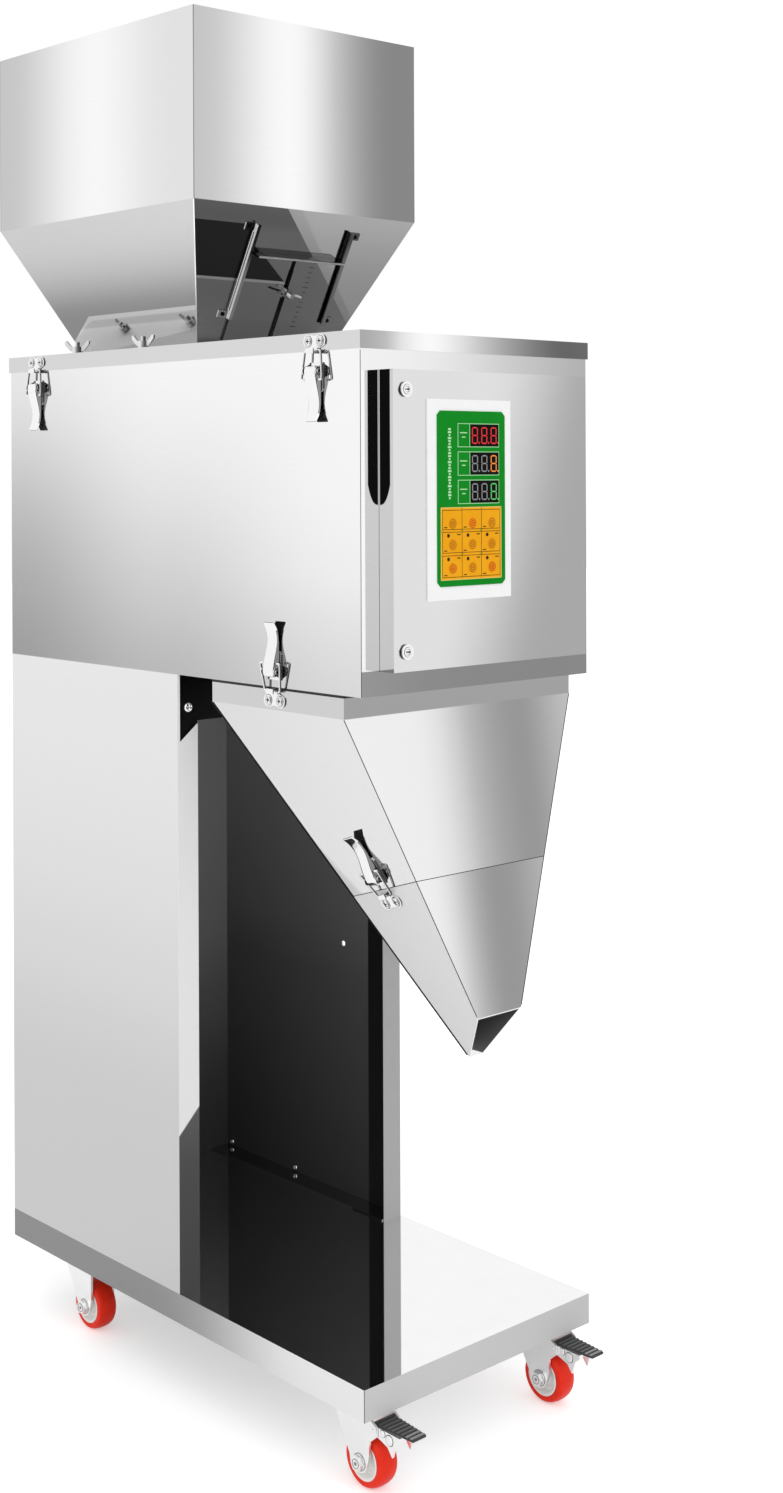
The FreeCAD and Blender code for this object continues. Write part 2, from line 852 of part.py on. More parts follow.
def make_door():
    """Tray door with its panel window, lock holes and hinge knuckles."""
    body = new_body("door")
    wall = size.sheet_wall
    right = -door_left
    top = door_bottom + door_height
    depth = size.door_depth - size.door_gap
    extrude(body, "XZ", door_front, depth, rectangle(door_left, door_bottom, right, top))
    inside = rectangle(door_left + wall, door_bottom + wall, right - wall, top - wall)
    cut(body, "XZ", door_front + wall, depth, inside)
    left, low = overlay_corner()
    margin = size.panel_window_margin
    window = rectangle(
        left + margin, low + margin, left + size.overlay_width - margin, low + size.overlay_height - margin)
    cut(body, "XZ", door_front - 1, wall + 2, window)
    bore = size.lock_barrel_radius + size.running_clearance
    for _, across, height, _ in lock_centres():
        cut(body, "XZ", door_front - 1, wall + 2, circle(across, height, bore))
    axis_x, axis_y = hinge_axis()
    pin = circle(axis_x, axis_y, size.hinge_pin_radius + size.running_clearance)
    for start, span in knuckle_spans()[1]:
        extrude(body, "XY", start, span, circle(axis_x, axis_y, size.hinge_radius))
        leaf = rectangle(right - wall, axis_y - size.hinge_radius, axis_x, axis_y - size.hinge_pin_radius - 1)
        extrude(body, "XY", start, span, leaf)
        cut(body, "XY", start, span, pin)
    return body


def make_door_hinge():
    """Box-side hinge leaf with three knuckles and the pin."""
    body = new_body("door_hinge")
    axis_x, axis_y = hinge_axis()
    low = door_bottom + size.hinge_end_margin
    length = door_height - 2 * size.hinge_end_margin
    thick = size.latch_plate
    leaf_left = axis_x + size.hinge_radius + size.part_gap
    extrude(body, "XY", low, length, circle(axis_x, axis_y, size.hinge_pin_radius))
    extrude(body, "XY", low, length, rectangle(leaf_left, front - thick, half_width - 2, front))
    for start, span in knuckle_spans()[0]:
        extrude(body, "XY", start, span, circle(axis_x, axis_y, size.hinge_radius))
        web = [
            (axis_x, axis_y + size.hinge_pin_radius + 1), (leaf_left + 3, front - thick),
            (leaf_left + 3, front), (axis_x, axis_y + size.hinge_radius),
        ]
        extrude(body, "XY", start, span, web)
    return body


def make_cam_lock(name, across, height, way):
    """Quarter-turn lock: slotted head, barrel and a tongue that lies upright when unlocked."""
    body = new_body("cam_lock_" + name)
    rise = size.lock_head_rise
    extrude(body, "XZ", door_front - rise, rise, circle(across, height, size.lock_head_radius))
    slot = rectangle(across - 4.5, height - 0.8, across + 4.5, height + 0.8)
    cut(body, "XZ", door_front - rise - 1, 2.2, slot)
    tongue_near = front + size.sheet_wall + 0.8
    reach = tongue_near + size.lock_tongue_thickness - door_front
    extrude(body, "XZ", door_front, reach, circle(across, height, size.lock_barrel_radius))
    half = size.lock_tongue_width / 2
    tip = height + way * size.lock_tongue_length
    heel = height - way * half
    tongue = rectangle(across - half, min_of(tip, heel), across + half, max_of(tip, heel))
    extrude(body, "XZ", tongue_near, size.lock_tongue_thickness, tongue)
    return body


def key_holes(radius):
    """Round holes for the nine keys."""
    return [circle(across, height, radius) for across, height in key_centres()]


def make_control_bezel():
    """White plate on the door with holes for the keys and a window for the readouts."""
    body = new_body("control_bezel")
    left, low = bezel_corner()
    outline = rectangle(left, low, left + size.bezel_width, low + size.bezel_height)
    keys = key_holes(size.key_radius + size.key_play)
    extrude(body, "XZ", door_front - size.bezel_thickness, size.bezel_thickness, outline, *keys)
    return body


def make_control_overlay():
    """Thin printed keypad sheet over the plate."""
    body = new_body("control_overlay")
    left, low = overlay_corner()
    corner = 4
    right = left + size.overlay_width
    high = low + size.overlay_height
    outline = [
        (left + corner, low), (right - corner, low), (right, low + corner), (right, high - corner),
        (right - corner, high), (left + corner, high), (left, high - corner), (left, low + corner),
    ]
    keys = key_holes(size.key_radius + size.key_play)
    start = door_front - size.bezel_thickness - size.overlay_thickness
    extrude(body, "XZ", start, size.overlay_thickness, outline, *keys)
    return body


def key_front():
    """Front face of a key at rest."""
    return door_front - size.bezel_thickness - size.overlay_thickness - size.key_rise


def make_key(index, across, height):
    """Domed push key with a stepped rim."""
    body = new_body("key_%d" % index)
    outline = [
        (0, 0), (0, size.key_radius), (size.key_depth - 0.4, size.key_radius),
        (size.key_depth, size.key_radius - 0.4), (size.key_depth, 0),
    ]
    spin(body, "XY", outline)
    inward = FreeCAD.Rotation(Vector(0, 0, 1), -90)
    place(body, (across, key_front() + size.key_depth, height), inward)
    return body


def make_control_board():
    """Circuit board behind the keypad: readout block, key switches and four standoffs."""
    body = new_body("control_board")
    left, low = overlay_corner()
    right = left + size.overlay_width
    high = low + size.overlay_height
    inside_face = door_front + size.sheet_wall
    board_near = inside_face + size.board_setback
    extrude(body, "XZ", board_near, size.board_thickness, rectangle(left, low, right, high))
    foot = 3
    for across in (left + foot, right - foot):
        for height in (low + foot, high - foot):
            extrude(body, "XZ", inside_face, size.board_setback + 0.2, circle(across, height, 2.2))
    switch_near = key_front() + size.key_depth + size.switch_gap
    for across, height in key_centres():
        extrude(body, "XZ", switch_near, board_near - switch_near + 0.2, rectangle(
            across - 3, height - 3, across + 3, height + 3))
    readout = rectangle(left + 28, low + 80, right - 8, high - 12)
    extrude(body, "XZ", door_front + 0.5, board_near - door_front, readout)
    return body


# Draw latches, drawn with x across, y from the catch to the handle and z out of the wall


def make_latch_base(label, origin, rotation):
    """Screwed plate with two ears and the lever's pivot pin."""
    body = new_body(label)
    thick = size.latch_plate
    near = size.pivot_run - 8
    ear_in = size.lever_half_width + size.part_gap
    ear_out = ear_in + thick
    extrude(body, "XY", 0, thick, rectangle(-ear_out, near, ear_out, near + size.base_plate_length))
    run = size.pivot_run
    rise = size.pivot_height
    ear = [
        (run - 7, 0), (run + 5, 0), (run + 3.2, rise), (run + 1.8, rise + 2.8),
        (run - 1.8, rise + 2.8), (run - 3.2, rise),
    ]
    extrude(body, "YZ", ear_in, thick, ear)
    extrude(body, "YZ", -ear_out, thick, ear)
    extrude(body, "YZ", -ear_in, 2 * ear_in, circle(run, rise, size.pivot_radius))
    place(body, origin, rotation)
    return body


def make_latch_catch(label, origin, rotation):
    """Two-lobed plate with a hook that the bail's bar lies in."""
    body = new_body(label)
    thick = size.latch_plate
    lobe = size.catch_lobe_radius
    half_neck = size.catch_neck / 2
    wire = size.bail_wire_radius
    web_near = size.bar_run + wire + 0.2
    web_far = web_near + thick
    plate = [
        (-size.catch_lobe_spacing / 2, 0), (size.catch_lobe_spacing / 2, 0),
        (size.catch_lobe_spacing / 2, size.catch_lobe_run), (half_neck, web_far),
        (-half_neck, web_far), (-size.catch_lobe_spacing / 2, size.catch_lobe_run),
    ]
    extrude(body, "XY", 0, thick, plate)
    for side in (-1, 1):
        extrude(body, "XY", 0, thick, circle(side * size.catch_lobe_spacing / 2, size.catch_lobe_run, lobe))
    lip_in = size.bar_height + wire + size.hook_lip_gap
    extrude(body, "XY", 0, lip_in + thick, rectangle(-half_neck, web_near, half_neck, web_far))
    lip = rectangle(-half_neck, size.bar_run - wire - 0.6, half_neck, web_far)
    extrude(body, "XY", lip_in, thick, lip)
    place(body, origin, rotation)
    return body


def make_latch_lever(label, origin, rotation):
    """Duck-bill handle: a pressed channel that falls to a waist by the wall and curls up at its tip."""
    body = new_body(label)
    half = size.lever_half_width
    run = size.pivot_run
    rise = size.pivot_height
    tip = run + size.lever_length
    thick = size.latch_plate
    side = [
        (run - 4.6, rise), (run - 3.5, rise - 3), (run, rise - 4.4), (run + 4, rise - 4.8),
        (tip - 16, rise - 4.8), (tip - 10, rise - 3.9), (tip - 4, rise - 2), (tip, rise + 0.6),
        (tip - 0.8, rise + 2.2), (tip - 5, rise - 0.6), (tip - 10, rise - 2.4), (tip - 16, rise - 3.2),
        (run + 12, rise + 1.7), (run + 3, rise + 4.1), (run, rise + 4.2), (run - 3.4, rise + 3),
    ]
    extrude(body, "YZ", -half, 2 * half, side)
    hollow = [
        (run - 8, rise - 8), (run - 8, rise + 1.6), (run - 2.6, rise + 1.8), (run, rise + 2.8),
        (run + 3, rise + 2.7), (run + 12, rise + 0.3), (tip - 20, rise - 3.5), (tip - 20, rise - 8),
    ]
    cut(body, "YZ", -half + thick, 2 * (half - thick), hollow)
    waist = size.lever_waist
    wide = size.lever_tip
    plan = [
        (-half, run - 8), (half, run - 8), (half, run + 10), (waist, tip - 16), (wide, tip - 3),
        (wide - 1, tip + 1), (1 - wide, tip + 1), (-wide, tip - 3), (-waist, tip - 16), (-half, run + 10),
    ]
    trim_to(body, "XY", plan)
    play = size.running_clearance
    cut(body, "YZ", -half - 1, 2 * half + 2, circle(run, rise, size.pivot_radius + play))
    bail_spot = circle(run + size.latch_throw, rise - size.over_centre, size.bail_wire_radius + play)
    cut(body, "YZ", -half - 1, 2 * half + 2, bail_spot)
    place(body, origin, rotation)
    return body


def make_bail(label, origin, rotation, step):
    """Square-bent wire whose bar lies in the hook, raised by the step between the two plates."""
    run = size.pivot_run + size.latch_throw
    rise = size.pivot_height - size.over_centre
    wire = size.bail_wire_radius
    half = size.bail_width / 2
    inner = size.lever_half_width - size.latch_plate
    bar = size.bar_height + step
    bar_half = size.bar_width / 2
    start = Vector(number_of(inner), number_of(run), number_of(rise))
    points = [
        start,
        Vector(number_of(half), number_of(run), number_of(rise)),
        Vector(number_of(bar_half), number_of(size.bar_run), number_of(bar)),
        Vector(-number_of(bar_half), number_of(size.bar_run), number_of(bar)),
        Vector(-number_of(half), number_of(run), number_of(rise)),
        Vector(-number_of(inner), number_of(run), number_of(rise)),
    ]
    route = Part.makePolygon(points)
    section = Part.Wire(Part.makeCircle(number_of(wire), start, Vector(1, 0, 0)))
    right_corner = 1
    bail = doc.addObject("Part::Feature", label)
    bail.Label = label
    bail.Shape = route.makePipeShell([section], True, True, right_corner)
    place(bail, origin, rotation)
    return bail


def wall_frame(towards_handle, out):
    """Rotation of a latch whose handle points one way along a wall."""
    across = towards_handle.cross(out)
    return FreeCAD.Rotation(across, towards_handle, out, "ZXY")


def latch_places():
    """Name, catch origin, base origin, rotation and plate step of each of the eight latches."""
    places = []
    down = Vector(0, 0, -1)
    up = Vector(0, 0, 1)
    slope = number_of(size.funnel_side_slope)
    steep = math.hypot(1, slope)
    turn = math.radians(number_of(size.nozzle_latch_turn))
    rim_low = box_bottom - size.funnel_rim_height
    joint_fall = (size.joint_rear_drop - size.joint_front_drop).number
    joint_run = (funnel_back_at(size.joint_rear_drop) - funnel_front_at(size.joint_front_drop)).number
    for side, hand in ((-1, "left"), (1, "right")):
        out = Vector(side, 0, 0)
        wall = side * half_width
        skirt = side * (half_width + lid_reach)
        catch_top = lid_top - size.lid_latch_inset
        for end, along in (("front", size.front_latch_y), ("rear", size.rear_latch_y)):
            catch = (skirt, front + along, catch_top)
            base = (wall, front + along, catch_top)
            places.append(("lid_%s_%s" % (end, hand), catch, base, wall_frame(down, out), lid_reach))
        spot = (wall, front + size.funnel_latch_y, rim_low + size.funnel_latch_inset)
        places.append(("funnel_%s" % hand, spot, spot, wall_frame(up, out), 0))
        lean = Vector(side * slope / steep, 0, 1 / steep)
        towards = lean * math.cos(turn) + Vector(0, math.sin(turn), 0)
        outward = Vector(side / steep, 0, -slope / steep)
        along = front + size.nozzle_latch_y
        behind = along - funnel_front_at(size.joint_front_drop)
        joint_here = size.joint_front_drop + behind * (joint_fall / joint_run)
        drop = joint_here + size.nozzle_latch_below_joint * (math.cos(turn) / steep)
        spot = (side * funnel_half_at(drop), along, rim_low - drop)
        places.append(("nozzle_%s" % hand, spot, spot, wall_frame(towards, outward), 0))
    return places


def make_latches():
    """Eight draw latches: fixed plates in one node, each lever and bail by itself."""
    fixed = []
    moving = []
    for name, catch, base, rotation, step in latch_places():
        fixed.append(make_latch_base("latch_base_" + name, base, rotation))
        fixed.append(make_latch_catch("latch_catch_" + name, catch, rotation))
        moving.append(make_latch_lever("latch_lever_" + name, base, rotation))
        moving.append(make_bail("latch_bail_" + name, base, rotation, step))
    return [group("latch_fixings", fixed)] + moving


# Casters


def caster_places():
    """Name, swivel axis and whether there is a brake, for each caster."""
    across = half_width - size.caster_inset_x
    near = front + size.front_caster_y
    far = front + size.rear_caster_y
    return [
        ("front_left", -across, near, True), ("front_right", across, near, True),
        ("rear_left", -across, far, False), ("rear_right", across, far, False),
    ]


def fork_top():
    """Top of the swivelling fork, just under the raceway."""
    return size.base_clearance - size.raceway_height - size.part_gap


def make_caster_mounts():
    """Top plates of the casters, each with its raceway cup and riveted king pin."""
    plates = []
    top = size.base_clearance + size.plate_thickness + size.part_gap
    for name, across, along, _ in caster_places():
        body = new_body("caster_plate_" + name)
        half_length = size.plate_length / 2
        half_side = size.plate_width / 2
        low = top - size.plate_thickness
        extrude(body, "XY", low, size.plate_thickness, rectangle(
            -half_side, -half_length, half_side, half_length))
        cup = size.raceway_height + size.part_gap
        extrude(body, "XY", low - cup, cup, circle(0, 0, size.raceway_radius))
        pin_low = fork_top() - size.fork_plate - 3
        extrude(body, "XY", pin_low, low - pin_low, circle(0, 0, size.king_pin_radius))
        rivet_top = fork_top() - size.fork_plate - size.part_gap
        extrude(body, "XY", pin_low, rivet_top - pin_low, circle(0, 0, size.king_pin_radius + 3))
        place(body, (across, along, Size(0, "0")))
        plates.append(body)
    return group("caster_mounts", plates)


def make_caster_fork(name, across, along, has_brake):
    """Pressed fork with tapering legs, and the axle bolt across them."""
    body = new_body("caster_fork_" + name)
    top = fork_top()
    thick = size.fork_plate
    leg_in = size.wheel_width / 2 + size.fork_side_gap
    leg_out = leg_in + thick
    hub_y = -size.caster_trail
    hub_z = size.wheel_radius
    front_edge = hub_y - 13
    crown = rectangle(-leg_out, front_edge, leg_out, hub_y + 34)
    king = circle(0, 0, size.king_pin_radius + size.running_clearance)
    extrude(body, "XY", top - thick, thick, crown, king)
    leg = [
        (front_edge, top), (hub_y + 34, top), (hub_y + 31, top - 11), (hub_y + 10.5, hub_z - 2),
        (hub_y + 6.5, hub_z - 7.6), (hub_y, hub_z - 10), (hub_y - 6.5, hub_z - 7.6),
        (hub_y - 10, hub_z - 2), (front_edge, hub_z + 10),
    ]
    extrude(body, "YZ", leg_in, thick, leg)
    extrude(body, "YZ", -leg_out, thick, leg)
    if has_brake:
        pivot_y = -size.pedal_pivot_forward
        pivot_z = size.pedal_pivot_height
        ear = [
            (front_edge + 1, top), (pivot_y - 4.5, pivot_z + 4), (pivot_y - 4.5, pivot_z - 5),
            (front_edge + 1, pivot_z - 14),
        ]
        extrude(body, "YZ", leg_in, thick, ear)
        extrude(body, "YZ", -leg_out, thick, ear)
        pin = circle(pivot_y, pivot_z, size.pivot_radius)
        extrude(body, "YZ", -leg_out - 1, 2 * leg_out + 2, pin)
    extrude(body, "YZ", -leg_out, 2 * leg_out, circle(hub_y, hub_z, size.axle_radius))
    nut = hexagon(hub_y, hub_z, size.axle_radius + 3)
    extrude(body, "YZ", leg_out, size.axle_nut, nut)
    extrude(body, "YZ", -leg_out - size.axle_nut, size.axle_nut, nut)
    place(body, (across, along, Size(0, "0")))
    return body


def make_caster_wheel(name, across, along):
    """Moulded tyre on a dished hub, turned about the axle."""
    half = size.wheel_width / 2
    rim = size.hub_radius
    tread = size.wheel_radius
    bore = size.axle_radius + size.running_clearance
    tyre = new_body("tyre_" + name)
    spin(tyre, "XZ", [
        (-half, rim), (-half, tread - 4), (-half + 2, tread - 1.4), (-half + 5.5, tread - 0.2),
        (Size(0, "0"), tread), (half - 5.5, tread - 0.2), (half - 2, tread - 1.4), (half, tread - 4),
        (half, rim),
    ])
    hub = new_body("hub_" + name)
    spin(hub, "XZ", [
        (-half, bore), (-half, bore + 4), (-half + 6, bore + 6), (-half + 6, rim - 5), (-half + 1, rim - 3),
        (-half + 1, rim), (half - 1, rim), (half - 1, rim - 3), (half - 6, rim - 5), (half - 6, bore + 6),
        (half, bore + 4), (half, bore),
    ])
    centre = (across, along - size.caster_trail, size.wheel_radius)
    for piece in (tyre, hub):
        place(piece, centre)
    return group("caster_wheel_" + name, [tyre, hub])


def make_brake_pedal(name, across, along):
    """Brake lever: two cheeks with hooks, and a ribbed foot pad on top."""
    pivot_y = -size.pedal_pivot_forward
    pivot_z = size.pedal_pivot_height
    cheek_out = size.wheel_width / 2 + size.fork_side_gap - size.part_gap
    thick = size.latch_plate * 2
    lever = new_body("pedal_lever_" + name)
    cheek = [
        (pivot_y + 4, pivot_z - 4), (pivot_y + 4, pivot_z + 3.2), (pivot_y - 33, pivot_z + 3.2),
        (pivot_y - 33, pivot_z - 1), (pivot_y - 27, pivot_z - 5), (pivot_y - 23, pivot_z - 17.5),
        (pivot_y - 17, pivot_z - 10), (pivot_y - 8, pivot_z - 7),
    ]
    extrude(lever, "YZ", -cheek_out, thick, cheek)
    extrude(lever, "YZ", cheek_out - thick, thick, cheek)
    plate = rectangle(-cheek_out, pivot_y - 33, cheek_out, pivot_y - 3)
    extrude(lever, "XY", pivot_z + 3.2 - thick, thick, plate)
    bore = circle(pivot_y, pivot_z, size.pivot_radius + size.running_clearance)
    cut(lever, "YZ", -cheek_out - 1, 2 * cheek_out + 2, bore)
    pad = new_body("pedal_pad_" + name)
    pad_low = pivot_z + 3.2
    back_edge = pivot_y + 3
    tip = -size.pedal_reach + 1
    wide = size.pedal_half_back
    narrow = size.pedal_half_tip
    outline = [(-wide, back_edge), (wide, back_edge), (narrow, tip), (-narrow, tip)]
    extrude(pad, "XY", pad_low, 2, outline)
    ribs = 9
    pitch = (back_edge - tip) / ribs
    taper = (wide - narrow) / ribs
    for step in range(ribs):
        edge = wide - taper * (step + 1)
        start = back_edge - pitch * (step + 0.5)
        extrude(pad, "XY", pad_low + 2, 0.8, rectangle(-edge, start - pitch / 4, edge, start + pitch / 4))
    for piece in (lever, pad):
        place(piece, (across, along, Size(0, "0")))
    return group("brake_pedal_" + name, [lever, pad])


# Feeding and weighing works


def tray_floor():
    """Underside of the feeder tray, a set gap below the hopper throat."""
    return lid_top - size.throat_drop - size.tray_gap - size.sheet_wall


def make_feeder_tray():
    """Open-ended channel that shakes powder forward, with a bracket for its springs."""
    body = new_body("feeder_tray")
    wall = size.sheet_wall
    near = front + size.tray_front
    low = tray_floor()
    half = size.tray_width / 2
    high = low + size.tray_side
    section = [
        (-half, low), (half, low), (half, high), (half - wall, high), (half - wall, low + wall),
        (-half + wall, low + wall), (-half + wall, high), (-half, high),
    ]
    extrude(body, "XZ", near, size.tray_length, section)
    end = near + size.tray_length
    extrude(body, "XZ", end - wall, wall, rectangle(-half, low, half, high))
    drive_near = front + size.drive_front
    bracket = size.drive_width / 2 - 10
    gap = size.spring_leaf + size.spring_play
    reach = size.drive_length - 2 * gap
    extrude(body, "XZ", drive_near + gap, reach, rectangle(-bracket, low - 34, bracket, low))
    return body


def make_feeder_drive():
    """Vibrating drive: base block on rubber feet, coil and two leaf springs."""
    body = new_body("feeder_drive")
    near = front + size.drive_front
    far = near + size.drive_length
    floor = box_bottom + size.sheet_wall
    half = size.drive_width / 2
    leaf = size.spring_leaf
    for across in (-half + 12, half - 12):
        for along in (near + 14, far - 14):
            extrude(body, "XY", floor, size.drive_foot + 1, circle(across, along, 9))
    block_low = floor + size.drive_foot
    block_high = block_low + size.drive_block
    extrude(body, "XY", block_low, size.drive_block, rectangle(-half, near + leaf, half, far - leaf))
    coil = rectangle(-half + 22, near + 22, half - 22, far - 22)
    extrude(body, "XY", block_high, size.coil_height, coil)
    top = tray_floor() - 6
    strip = half - 12
    extrude(body, "XZ", near, leaf, rectangle(-strip, block_low + 8, strip, top))
    extrude(body, "XZ", far - leaf, leaf, rectangle(-strip, block_low + 8, strip, top))
    return body


def bucket_bottom():
    """Level of the weigh bucket's lower mouth."""
    return box_bottom + size.bucket_lift


def make_weigh_bucket():
    """Tapered bucket, open above and below, with hinge lugs for its flap."""
    body = new_body("weigh_bucket")
    low = bucket_bottom()
    high = low + size.bucket_height
    near = front + size.bucket_front
    far = near + size.bucket_depth
    half = size.bucket_width / 2
    taper = size.bucket_taper
    extrude(body, "XZ", near, size.bucket_depth, [
        (-half + taper, low), (half - taper, low), (half, high), (-half, high)])
    trim_to(body, "YZ", [(near + taper, low), (far - taper, low), (far, high), (near, high)])

    def open_end(face):
        return abs(abs(face.normalAt(0, 0).z) - 1) < 1e-6

    shell_out(body, size.bucket_wall, open_end)
    hanger = rectangle(-size.load_cell_width / 2, high - 26, size.load_cell_width / 2, high)
    extrude(body, "XZ", far - 8, 8 + size.load_cell_gap, hanger)
    cut(body, "XZ", near, size.bucket_depth - size.bucket_wall * 2, rectangle(
        -size.load_cell_width / 2 - 2, high - 28, size.load_cell_width / 2 + 2, high + 1))
    axis_y, axis_z = flap_axis()
    lug_out = half - taper
    half_lug = 4
    lug = [
        (axis_y - half_lug, low + 12), (axis_y - half_lug, axis_z - 1.6), (axis_y - 1.6, axis_z - half_lug),
        (axis_y + 1.6, axis_z - half_lug), (axis_y + half_lug, axis_z - 1.6), (axis_y + half_lug, low + 12),
    ]
    for left in (-lug_out, lug_out - half_lug):
        extrude(body, "YZ", left, half_lug, lug)
    extrude(body, "YZ", -lug_out, 2 * lug_out, circle(axis_y, axis_z, 2))
    return body


def flap_axis():
    """Line along X that the bucket's flap turns about."""
    far = front + size.bucket_front + size.bucket_depth
    return far - size.bucket_taper + 5, bucket_bottom() - 3


def make_bucket_flap():
    """Flap that shuts the bucket and drops open to let a weighed portion fall."""
    body = new_body("bucket_flap")
    axis_y, axis_z = flap_axis()
    near = front + size.bucket_front + size.bucket_taper - 3
    half = size.bucket_width / 2 - size.bucket_taper + 3
    top = bucket_bottom() - size.part_gap
    thick = size.sheet_wall
    barrel = 3.6
    lug_in = size.bucket_width / 2 - size.bucket_taper - 4 - size.part_gap
    extrude(body, "XY", top - thick, thick, rectangle(-half, near, half, axis_y - 4.6))
    extrude(body, "YZ", -lug_in, 2 * lug_in, circle(axis_y, axis_z, barrel))
    web = rectangle(axis_y - 6, top - thick, axis_y, top)
    extrude(body, "YZ", -lug_in, 2 * lug_in, web)
    cut(body, "YZ", -lug_in - 1, 2 * lug_in + 2, circle(axis_y, axis_z, 2 + size.running_clearance))
    return body


def make_load_cell():
    """Bar load cell with its bored middle, on a post from the box floor."""
    body = new_body("load_cell")
    high = bucket_bottom() + size.bucket_height
    near = front + size.bucket_front + size.bucket_depth + size.load_cell_gap
    half = size.load_cell_width / 2
    low = high - size.load_cell_height
    far = near + size.load_cell_length
    extrude(body, "XZ", near, size.load_cell_length, rectangle(-half, low, half, high))
    middle = near + size.load_cell_length / 2
    level = high - size.load_cell_height / 2
    for along in (middle - 12, middle + 12):
        cut(body, "YZ", -half - 1, size.load_cell_width + 2, circle(along, level, 8))
    floor = box_bottom + size.sheet_wall
    extrude(body, "XY", floor, low - floor + 1, rectangle(-half, far - 36, half, far))
    extrude(body, "XY", floor, 4, rectangle(-half - 18, far - 44, half + 18, far + 4))
    return body


def make_all():
    """Every node of the machine."""
    nodes = [
        make_base_tray(), make_caster_mounts(), make_column_shell(), make_column_bracket(),
        make_main_box(), make_box_lid(), make_hopper_bin(), make_hopper_fittings(),
        make_gate_plate(), make_gate_wing_nut(), make_funnel_upper(), make_funnel_nozzle(),
        make_door(), make_door_hinge(), make_control_bezel(), make_control_overlay(), make_control_board(),
        make_feeder_tray(), make_feeder_drive(), make_weigh_bucket(), make_bucket_flap(), make_load_cell(),
    ]
    for index, (across, height) in enumerate(key_centres(), start=1):
        nodes.append(make_key(index, across, height))
    for name, across, height, way in lock_centres():
        nodes.append(make_cam_lock(name, across, height, way))
    nodes += make_latches()
    for name, across, along, has_brake in caster_places():
        nodes.append(make_caster_fork(name, across, along, has_brake))
        nodes.append(make_caster_wheel(name, across, along))
        if has_brake:
            nodes.append(make_brake_pedal(name, across, along))
    return nodes


def check_document(nodes):
    """Stop if any feature failed or any node has no sound solid."""
    faults = [item.Name for item in doc.Objects if "Invalid" in item.State or "Error" in item.State]
    for node in nodes:
        shape = node.Shape
        if shape.isNull() or not shape.isValid() or not shape.Solids:
            faults.append(node.Label)
    if faults:
        raise RuntimeError("not sound: " + ", ".join(faults))


def write_steps(nodes):
    """Write each node to a file of its own."""
    os.makedirs("parts", exist_ok=True)
    for node in nodes:
        node.Shape.exportStep("parts/%s.step" % node.Label)


all_nodes = make_all()
doc.recompute()
check_document(all_nodes)
write_steps(all_nodes)
print("%d nodes written" % len(all_nodes))
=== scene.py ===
"""Powder filling machine: finishes and fine pieces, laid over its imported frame."""
import json
import math
import bmesh
import bpy
import numpy as np
from mathutils import Matrix, Vector


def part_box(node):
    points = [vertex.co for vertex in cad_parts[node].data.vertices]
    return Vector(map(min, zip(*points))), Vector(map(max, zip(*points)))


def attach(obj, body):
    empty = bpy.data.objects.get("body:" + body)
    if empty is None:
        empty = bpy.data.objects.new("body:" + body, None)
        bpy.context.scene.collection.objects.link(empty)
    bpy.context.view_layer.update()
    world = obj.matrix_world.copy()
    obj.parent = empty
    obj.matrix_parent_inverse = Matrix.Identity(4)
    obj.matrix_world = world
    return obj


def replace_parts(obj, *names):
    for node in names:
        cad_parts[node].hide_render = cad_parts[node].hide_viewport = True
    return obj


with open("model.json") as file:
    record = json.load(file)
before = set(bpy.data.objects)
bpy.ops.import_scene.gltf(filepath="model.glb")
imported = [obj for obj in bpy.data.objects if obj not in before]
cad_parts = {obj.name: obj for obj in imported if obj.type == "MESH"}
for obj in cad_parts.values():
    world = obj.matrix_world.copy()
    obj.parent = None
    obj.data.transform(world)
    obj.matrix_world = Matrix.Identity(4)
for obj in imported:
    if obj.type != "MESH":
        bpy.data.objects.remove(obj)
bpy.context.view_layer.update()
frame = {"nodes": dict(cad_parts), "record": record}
NODES = frame["nodes"]
MM = 0.001

# Places shared with the frame, in millimetres
HALF_WIDTH = 150.0
FRONT = -285.0
BACK = 301.0
BOX_BOTTOM = 723.0
BOX_TOP = 1036.0
LID_TOP = 1052.0
CONE_FRONT = -38.0
CONE_TOP = 1195.5
CONE_SIDE_RATE = 0.4317
CONE_FRONT_RATE = 0.5405
HOPPER_BACK = 324.0
HOPPER_TOP = 1386.5
RIM_LOW = 701.0
RIM_FRONT = -261.0
RIM_BACK = -66.0
FUNNEL_SIDE_RATE = 0.4276
FUNNEL_FRONT_RATE = -0.169
FUNNEL_BACK_RATE = -0.642
JOINT_FRONT = 151.0
JOINT_BACK = 183.0
FILM_FRONT = -306.3


def grey(level, warm=0.0):
    """Linear colour of a grey given as a 0 to 255 display level, with a little warmth or cold."""
    value = level / 255
    linear = value / 12.92 if value <= 0.04045 else ((value + 0.055) / 1.055) ** 2.4
    return (linear * (1 + warm), linear, linear * (1 - warm), 1)


def tint(red, green, blue):
    """Linear colour of a display colour given as three 0 to 255 levels."""
    return (grey(red)[0], grey(green)[0], grey(blue)[0], 1)


# Shader groups


def new_group(name, inputs, outputs):
    """An empty shader group with named inputs and outputs."""
    group = bpy.data.node_groups.new(name, "ShaderNodeTree")
    for label, kind, default in inputs:
        socket = group.interface.new_socket(name=label, in_out="INPUT", socket_type=kind)
        if default is not None:
            socket.default_value = default
    for label, kind in outputs:
        group.interface.new_socket(name=label, in_out="OUTPUT", socket_type=kind)
    return group, group.nodes.new("NodeGroupInput"), group.nodes.new("NodeGroupOutput")


